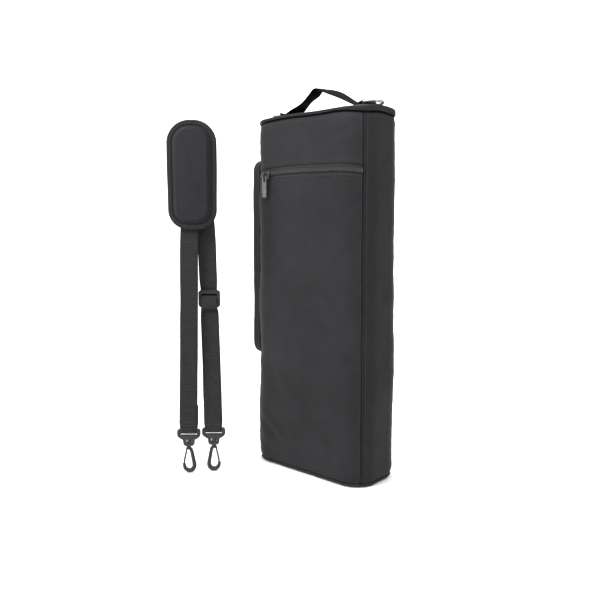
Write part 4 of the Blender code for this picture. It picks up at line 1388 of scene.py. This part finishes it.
def flat_moulding(name, outline, holes, depth, bev, body, mat, at, nodes):
    """A moulded plate from a flat outline with holes, its edges rounded."""
    cu = bpy.data.curves.new(name, "CURVE")
    cu.dimensions = "2D"
    cu.fill_mode = "BOTH"
    cu.extrude = depth / 2 - bev
    cu.bevel_depth = bev
    cu.bevel_resolution = 3
    for ring in [outline] + holes:
        sp = cu.splines.new("POLY")
        sp.points.add(len(ring) - 1)
        for q, (x, z) in zip(sp.points, ring):
            q.co = (x, z, 0, 1)
        sp.use_cyclic_u = True
    tmp = bpy.data.objects.new(name + "_tmp", cu)
    bpy.context.scene.collection.objects.link(tmp)
    bpy.context.view_layer.update()
    dg = bpy.context.evaluated_depsgraph_get()
    me = bpy.data.meshes.new_from_object(tmp.evaluated_get(dg))
    me.name = name
    bpy.data.objects.remove(tmp, do_unlink=True)
    me.transform(Matrix(((1, 0, 0, at[0]), (0, 0, -1, at[1]), (0, 1, 0, at[2]),
                         (0, 0, 0, 1))))
    me.materials.clear()
    me.materials.append(mat)
    me.shade_smooth()
    ob = bpy.data.objects.new(name, me)
    bpy.context.scene.collection.objects.link(ob)
    bm = bmesh.new()
    bm.from_mesh(me)
    bmesh.ops.remove_doubles(bm, verts=bm.verts[:], dist=1e-6)
    bmesh.ops.recalc_face_normals(bm, faces=bm.faces[:])
    bm.to_mesh(me)
    bm.free()
    place(ob)
    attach(ob, body)
    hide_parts(*nodes)
    return ob


def rounded(poly, r, n=5):
    """Round the corners of a closed polygon."""
    out = []
    m = len(poly)
    for i in range(m):
        p0, p1, p2 = Vector(poly[i - 1]), Vector(poly[i]), Vector(poly[(i + 1) % m])
        rr = r[i] if isinstance(r, (list, tuple)) else r
        a, b = (p0 - p1), (p2 - p1)
        k = min(rr, a.length * 0.45, b.length * 0.45)
        a, b = p1 + a.normalized() * k, p1 + b.normalized() * k
        for j in range(n + 1):
            t = j / n
            out.append(tuple((a * (1 - t) ** 2 + p1 * 2 * t * (1 - t) + b * t * t)[:2]))
    return out


for side, cx, cy in (("left", X_L, Y_L), ("right", X_R, Y_R)):
    body_pl = rounded([(-0.0124, 0.0505), (0.0124, 0.0505), (0.0126, 0.0432),
                       (0.0090, 0.0404), (0.0060, 0.0392), (0.0054, 0.0330),
                       (0.0030, 0.0318), (-0.0030, 0.0318), (-0.0054, 0.0330),
                       (-0.0060, 0.0392), (-0.0090, 0.0404), (-0.0126, 0.0432)],
                      [0.0022, 0.0022, 0.003, 0.004, 0.003, 0.002, 0.002, 0.002, 0.002,
                       0.003, 0.004, 0.003])
    slot_h = rounded([(-0.0103, 0.0476), (0.0103, 0.0476), (0.0103, 0.0436),
                      (-0.0103, 0.0436)], 0.0008)
    win = rounded([(-0.0038, 0.0342), (0.0038, 0.0342), (0.0040, 0.0372), (0.0018, 0.0398),
                   (-0.0018, 0.0398), (-0.0040, 0.0372)], 0.0016)
    flat_moulding(side + "_frame_moulding", body_pl, [slot_h, win], 0.0046, 0.0009,
                  "strap", M_PLASTIC, (cx, cy, 0.0),
                  [side + "_hook_frame"])

adj = rounded([(-0.0114, 0.0090), (0.0114, 0.0090), (0.0114, -0.0090), (-0.0114, -0.0090)],
              0.0026)
h1 = rounded([(-0.0098, 0.0062), (0.0098, 0.0062), (0.0098, 0.0020), (-0.0098, 0.0020)],
             0.0006)
h2 = rounded([(-0.0098, -0.0020), (0.0098, -0.0020), (0.0098, -0.0062), (-0.0098, -0.0062)],
             0.0006)
flat_moulding("adjuster_moulding", adj, [h1, h2], 0.0029, 0.0009, "adjuster",
              M_PLASTIC, (0.0128, 0.00385, 0.2010), ["length_adjuster"])
tong = resample([(0.0128, 0.0046, 0.2040), (0.0128, 0.0030, 0.2036), (0.0128, 0.0014, 0.2024),
                 (0.0128, 0.0012, 0.1998), (0.0128, 0.0013, 0.1960), (0.0128, 0.0014, 0.1925),
                 (0.0129, 0.0028, 0.1900), (0.0130, 0.0046, 0.1890)], 0.0004)
wd, nr = [], []
for i, c in enumerate(tong):
    a, b = tong[max(i - 1, 0)], tong[min(i + 1, len(tong) - 1)]
    t = (b - a).normalized()
    w = Vector((1, 0, 0))
    w = (w - w.dot(t) * t).normalized()
    wd.append(w)
    nr.append(w.cross(t).normalized())
# a near-black pill in the adjuster's slot: painted shadow
ob = place(pills("adjuster_slot_shadow", [((0.0128, 0.0047, 0.2055), (1, 0, 0), (0, -1, 0),
                                          0.0096, 0.0018, 0.35)], M_PAINTED_SHADOW, None, sides=12))
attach(ob, "adjuster")
ob = place(ribbon("adjuster_turned_webbing", tong, wd, nr, 0.0186, 0.0013, M_WEB, None,
                  rib_h=0.0001))
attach(ob, "adjuster")

# ---------------------------------------------------------------- shoulder pad
PAD_W, PAD_H, PAD_X = 0.055, 0.119, -0.0032
PZ = 0.3975 - PAD_H / 2


R_T, R_B = 0.0255, 0.0225
NP = 240


def pad_ring(t, inset):
    w, h = PAD_W - 2 * inset, PAD_H - 2 * inset
    lim = w / 2 * 0.998
    x, z = oblong_pt(t, w, h, min(lim, max(0.002, R_T - inset)),
                     min(lim, max(0.002, R_B - inset)))
    k = 1.0 - inset / (PAD_W / 2)
    return x * (1.0 + 0.010 * math.sin(z * 60.0)), z * (1.0 - 0.004 * k * math.cos(x * 90))


def pad_front(u, v):
    """v from the bound edge (0) to the middle (1)."""
    inset = 0.0010 + v * 0.0252
    x, z = pad_ring(u, inset)
    if v > 0.999:
        x = 0.0
    d = inset
    flange = 0.0016
    # flat flange, a sewn groove, then the padded field
    y = -0.0040 - flange * smooth01(d / 0.002)
    groove = 0.0010 * math.exp(-((d - 0.0062) / 0.0009) ** 2) + \
        0.0005 * math.exp(-((d - 0.0034) / 0.0006) ** 2)
    rise = 0.0040 * smooth01((d - 0.0064) / 0.0050)
    pucker = 0.00028 * math.sin(u * 2 * PI * 46 + 2 * math.sin(u * 40)) * \
        math.exp(-((d - 0.0078) / 0.0026) ** 2)
    crown = 0.0005 * smooth01((d - 0.010) / 0.014)
    soft = 0.0007 * noise.noise(Vector((x * 60, z * 34, 2))) * smooth01((d - 0.007) / 0.006)
    return Vector((PAD_X + x, y + groove - rise - crown - pucker - soft, PZ + z))


cush = sheet_grid("pad_cushion_cloth", pad_front, NP, 46, M_PAD, None, (0.30, 0.027),
                  closed=True, flip=True)
# close the two slits in the middle and settle the padding as cloth under pressure
bm = bmesh.new()
bm.from_mesh(cush.data)
bmesh.ops.remove_doubles(bm, verts=[v for v in bm.verts if abs(v.co.x - PAD_X) < 1e-5],
                         dist=0.0004)
bm.to_mesh(cush.data)
bm.free()
# the weave follows the pad's plane
lay = cush.data.uv_layers[0]
for lp in cush.data.loops:
    co = cush.data.vertices[lp.vertex_index].co
    lay.data[lp.index].uv = (co.x, co.z)
cush.data.shade_smooth()


def settle_pad(ob):
    """A short cloth run: the padded field swells against its sewn line."""
    rest = np.array([v.co[:] for v in ob.data.vertices])
    vg = ob.vertex_groups.new(name="sewn")
    for v in ob.data.vertices:
        x, z = v.co.x - PAD_X, v.co.z - PZ
        dx = max(0.0, abs(x) - (PAD_W / 2 - R_T))
        dz = max(0.0, abs(z) - (PAD_H / 2 - R_T))
        inset = R_T - math.hypot(dx, dz) if (dx > 0 and dz > 0) else \
            min(PAD_W / 2 - abs(x), PAD_H / 2 - abs(z))
        vg.add([v.index], 1.0 if inset < 0.0078 else 0.0, 'REPLACE')
    cl = ob.modifiers.new("swell", "CLOTH")
    st_ = cl.settings
    st_.quality = 5
    st_.mass = 0.05
    st_.tension_stiffness = 12
    st_.compression_stiffness = 12
    st_.bending_stiffness = 0.8
    st_.use_pressure = True
    st_.uniform_pressure_force = 3.0
    st_.vertex_group_mass = "sewn"
    st_.effector_weights.gravity = 0.0
    sc = bpy.context.scene
    for f in range(1, 13):
        sc.frame_set(f)
    dg = bpy.context.evaluated_depsgraph_get()
    ev = ob.evaluated_get(dg)
    new = np.array([v.co[:] for v in ev.data.vertices])
    ob.modifiers.remove(cl)
    ob.vertex_groups.clear()
    sc.frame_set(1)
    if len(new) != len(rest):
        return
    move = new - rest
    ln = np.linalg.norm(move, axis=1)
    cap = 0.0006
    k = np.where(ln > cap, cap / np.maximum(ln, 1e-9), 1.0)
    out = rest + move * k[:, None]
    out[:, 1] = np.maximum(out[:, 1], -0.0106)
    for v, p in zip(ob.data.vertices, out):
        v.co = p
    ob.data.update()


settle_pad(cush)
sol = cush.modifiers.new("cloth_thickness", "SOLIDIFY")
sol.thickness = 0.0008
sol.offset = -1.0
place(cush)
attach(cush, "shoulder_pad")
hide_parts("pad_cushion")


def pad_back(u, v):
    inset = 0.0010 + v * 0.0252
    x, z = pad_ring(u, inset)
    if v > 0.999:
        x = 0.0
    y = -0.0026 - 0.0004 * smooth01(v * 4) + 0.0002 * noise.noise(Vector((x * 70, z * 40, 6)))
    return Vector((PAD_X + x, y, PZ + z))


ob = sheet_grid("pad_back_cloth", pad_back, 160, 16, M_PAD, None, (0.30, 0.027), closed=True,
                thick=0.0005)
place(ob)
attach(ob, "shoulder_pad")
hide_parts("pad_backing")
# bound edge: folded tape round the rim
pts = []
for k in range(NP):
    x, z = pad_ring(k / NP, 0.0013)
    pts.append((PAD_X + x, -0.0042, PZ + z))
V, UV, F = [], [], []
sec = [(-0.0013, -0.0012), (-0.0016, 0.0000), (-0.0013, 0.0012), (-0.0002, 0.0016),
       (0.0012, 0.0018), (0.0024, 0.0018), (0.0027, 0.0012), (0.0024, 0.0008),
       (0.0006, 0.0005), (0.0, 0.0), (0.0006, -0.0005), (0.0024, -0.0008), (0.0027, -0.0012),
       (0.0024, -0.0017), (0.0012, -0.0018), (-0.0002, -0.0017)]
for k in range(NP):
    x0, z0 = pad_ring(k / NP, 0.0016)
    x1, z1 = pad_ring(k / NP, 0.0026)
    inn = Vector((x1 - x0, 0, z1 - z0)).normalized()
    wv = 0.00012 * math.sin(k * 0.9) + 0.0001 * math.sin(k * 2.3)
    for i, (a, b) in enumerate(sec):
        q = Vector((PAD_X + x0, -0.0042, PZ + z0)) + inn * (a + (wv if a > 0.002 else 0)) + \
            Vector((0, -1, 0)) * b * 0.95
        V.append(q)
        UV.append((i * 0.0011, k / NP * 0.30))
m = len(sec)
for k in range(NP):
    for i in range(m):
        a = k * m + i
        b = k * m + (i + 1) % m
        c = ((k + 1) % NP) * m + (i + 1) % m
        d = ((k + 1) % NP) * m + i
        F.append((a, b, c, d))
ob = make("pad_edge_binding", V, F, UV, M_BIND, None)
fix_normals(ob)
place(ob)
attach(ob, "shoulder_pad")
# two lines of stitching in the flange, one through the binding
st = []
for inset, off in ((0.0031, -0.0062), (0.0058, -0.0051), (0.0076, -0.0052)):
    ring = [pad_ring(k / 400, inset) for k in range(400)]
    per_len = sum(math.dist(ring[k], ring[(k + 1) % 400]) for k in range(400))
    cnt = int(per_len / 0.0030)
    for k in range(cnt):
        t = k / cnt
        x, z = pad_ring(t, inset)
        x2, z2 = pad_ring(t + 0.002, inset)
        v = (inset - 0.0010) / 0.0262
        y = pad_front(t, v).y - 0.0001 if inset > 0.004 else -0.0061
        st.append(((PAD_X + x, y, PZ + z), (x2 - x, 0, z2 - z), (0, -1, 0), 0.0011, 0.00027,
                   0.8))
ob = place(pills("pad_topstitch", st, M_THREAD, None))
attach(ob, "shoulder_pad")

# =====================================================================
# foam sheets sewn into the walls
# =====================================================================
for nm, s0, s1, z0, z1, off in (
        ("foam_front", -0.056, 0.056, 0.0055, 0.3950, -0.0085),
        ("foam_back", BACK_S - 0.056, BACK_S + 0.056, 0.0055, 0.3950, -0.0020),
        ("foam_right", A_ + Q_ + 0.001, A_ + Q_ + B_ - 0.001, 0.0055, 0.3950, -0.0020),
        ("foam_left", -(A_ + Q_ + B_ - 0.001), -(A_ + Q_ + 0.001), 0.0055, 0.3950, -0.0020)):
    ob = sheet_grid(nm + "_sheet", lambda u, v, a=s0, b=s1, c=z0, d=z1, o=off: skin(
        a + (b - a) * u, c + (d - c) * v, o), 24, 60, M_FOAM, "bag", (s1 - s0, z1 - z0),
        thick=0.0018)
    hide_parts(nm)
ob = sheet_grid("pocket_back_cloth", lambda u, v: skin(
    -0.070 + 0.140 * u, 0.004 + 0.391 * v, -0.0072), 50, 90, M_LINING, "bag",
    (0.140, 0.391), thick=0.0005)
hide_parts("pocket_backing")

# =====================================================================
# CAD pieces that stay, with their own finish
# =====================================================================
def finish_node(name, mat):
    o = NODES[name]
    o.data.materials.clear()
    o.data.materials.append(mat)


for nm in ("left_swivel_pin", "right_swivel_pin"):
    finish_node(nm, M_PLASTIC)
for nm in ("pocket_zip_slider", "lid_zip_slider", "side_pocket_zip_slider"):
    finish_node(nm, M_METAL)
for nm in ("pocket_zip_pull", "lid_zip_pull", "side_pocket_zip_pull"):
    finish_node(nm, M_PULL)
finish_node("base_foam", M_FOAM)
finish_node("base_board", M_BOARD)


PLAN = [per(PERIM * k / 600)[:2] for k in range(600)]
kx, ky = taper(TOP_Z)
for nm, shrink, held, on in (("lid_top_cloth", kx, "stretched", ["lid_foam_sheet"]),
                             ("lid_lining_cloth", 0.966, "stretched", ["lid_foam_sheet"]),
                             ("base_cloth", 0.94, "stretched", ["base_board"]),
                             ("lining_floor_cloth", 0.87, "laid", ["base_foam"])):
    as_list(on)

# =====================================================================
# floor
# =====================================================================
bm = bmesh.new()
prof = [(3.0, 0.0)] + [(-2.2, 0.0)] + \
    [(-2.2 - 1.2 * math.sin(RAD(a)), 1.2 - 1.2 * math.cos(RAD(a))) for a in range(5, 91, 5)] + \
    [(-3.4, 4.0)]
rows = []
for q, z in prof:
    rows.append([bm.verts.new((x, -q, z - 0.0003)) for x in (-5.0, 5.0)])
for a, b in zip(rows, rows[1:]):
    bm.faces.new((a[0], a[1], b[1], b[0]))
me = bpy.data.meshes.new("floor")
bmesh.ops.recalc_face_normals(bm, faces=bm.faces[:])
bm.to_mesh(me)
bm.free()
me.shade_smooth()
me.transform(Matrix.Rotation(RAD(41.8), 4, 'Z'))
floor = bpy.data.objects.new("floor", me)
bpy.context.scene.collection.objects.link(floor)
fm, fnt, fb = mat_base("pale_floor", (0.90, 0.90, 0.90), 0.85, spec=0.1)
fobj = tex(fnt, "Object")
fcol = ramp(fnt, noise_node(fnt, fobj, 3.0, 2.0), [(0.3, (0.89, 0.89, 0.89)),
                                                  (0.7, (0.91, 0.91, 0.91))])
fnt.links.new(fcol, fb.inputs["Base Color"])
me.materials.append(fm)

# =====================================================================
bpy.context.view_layer.update()
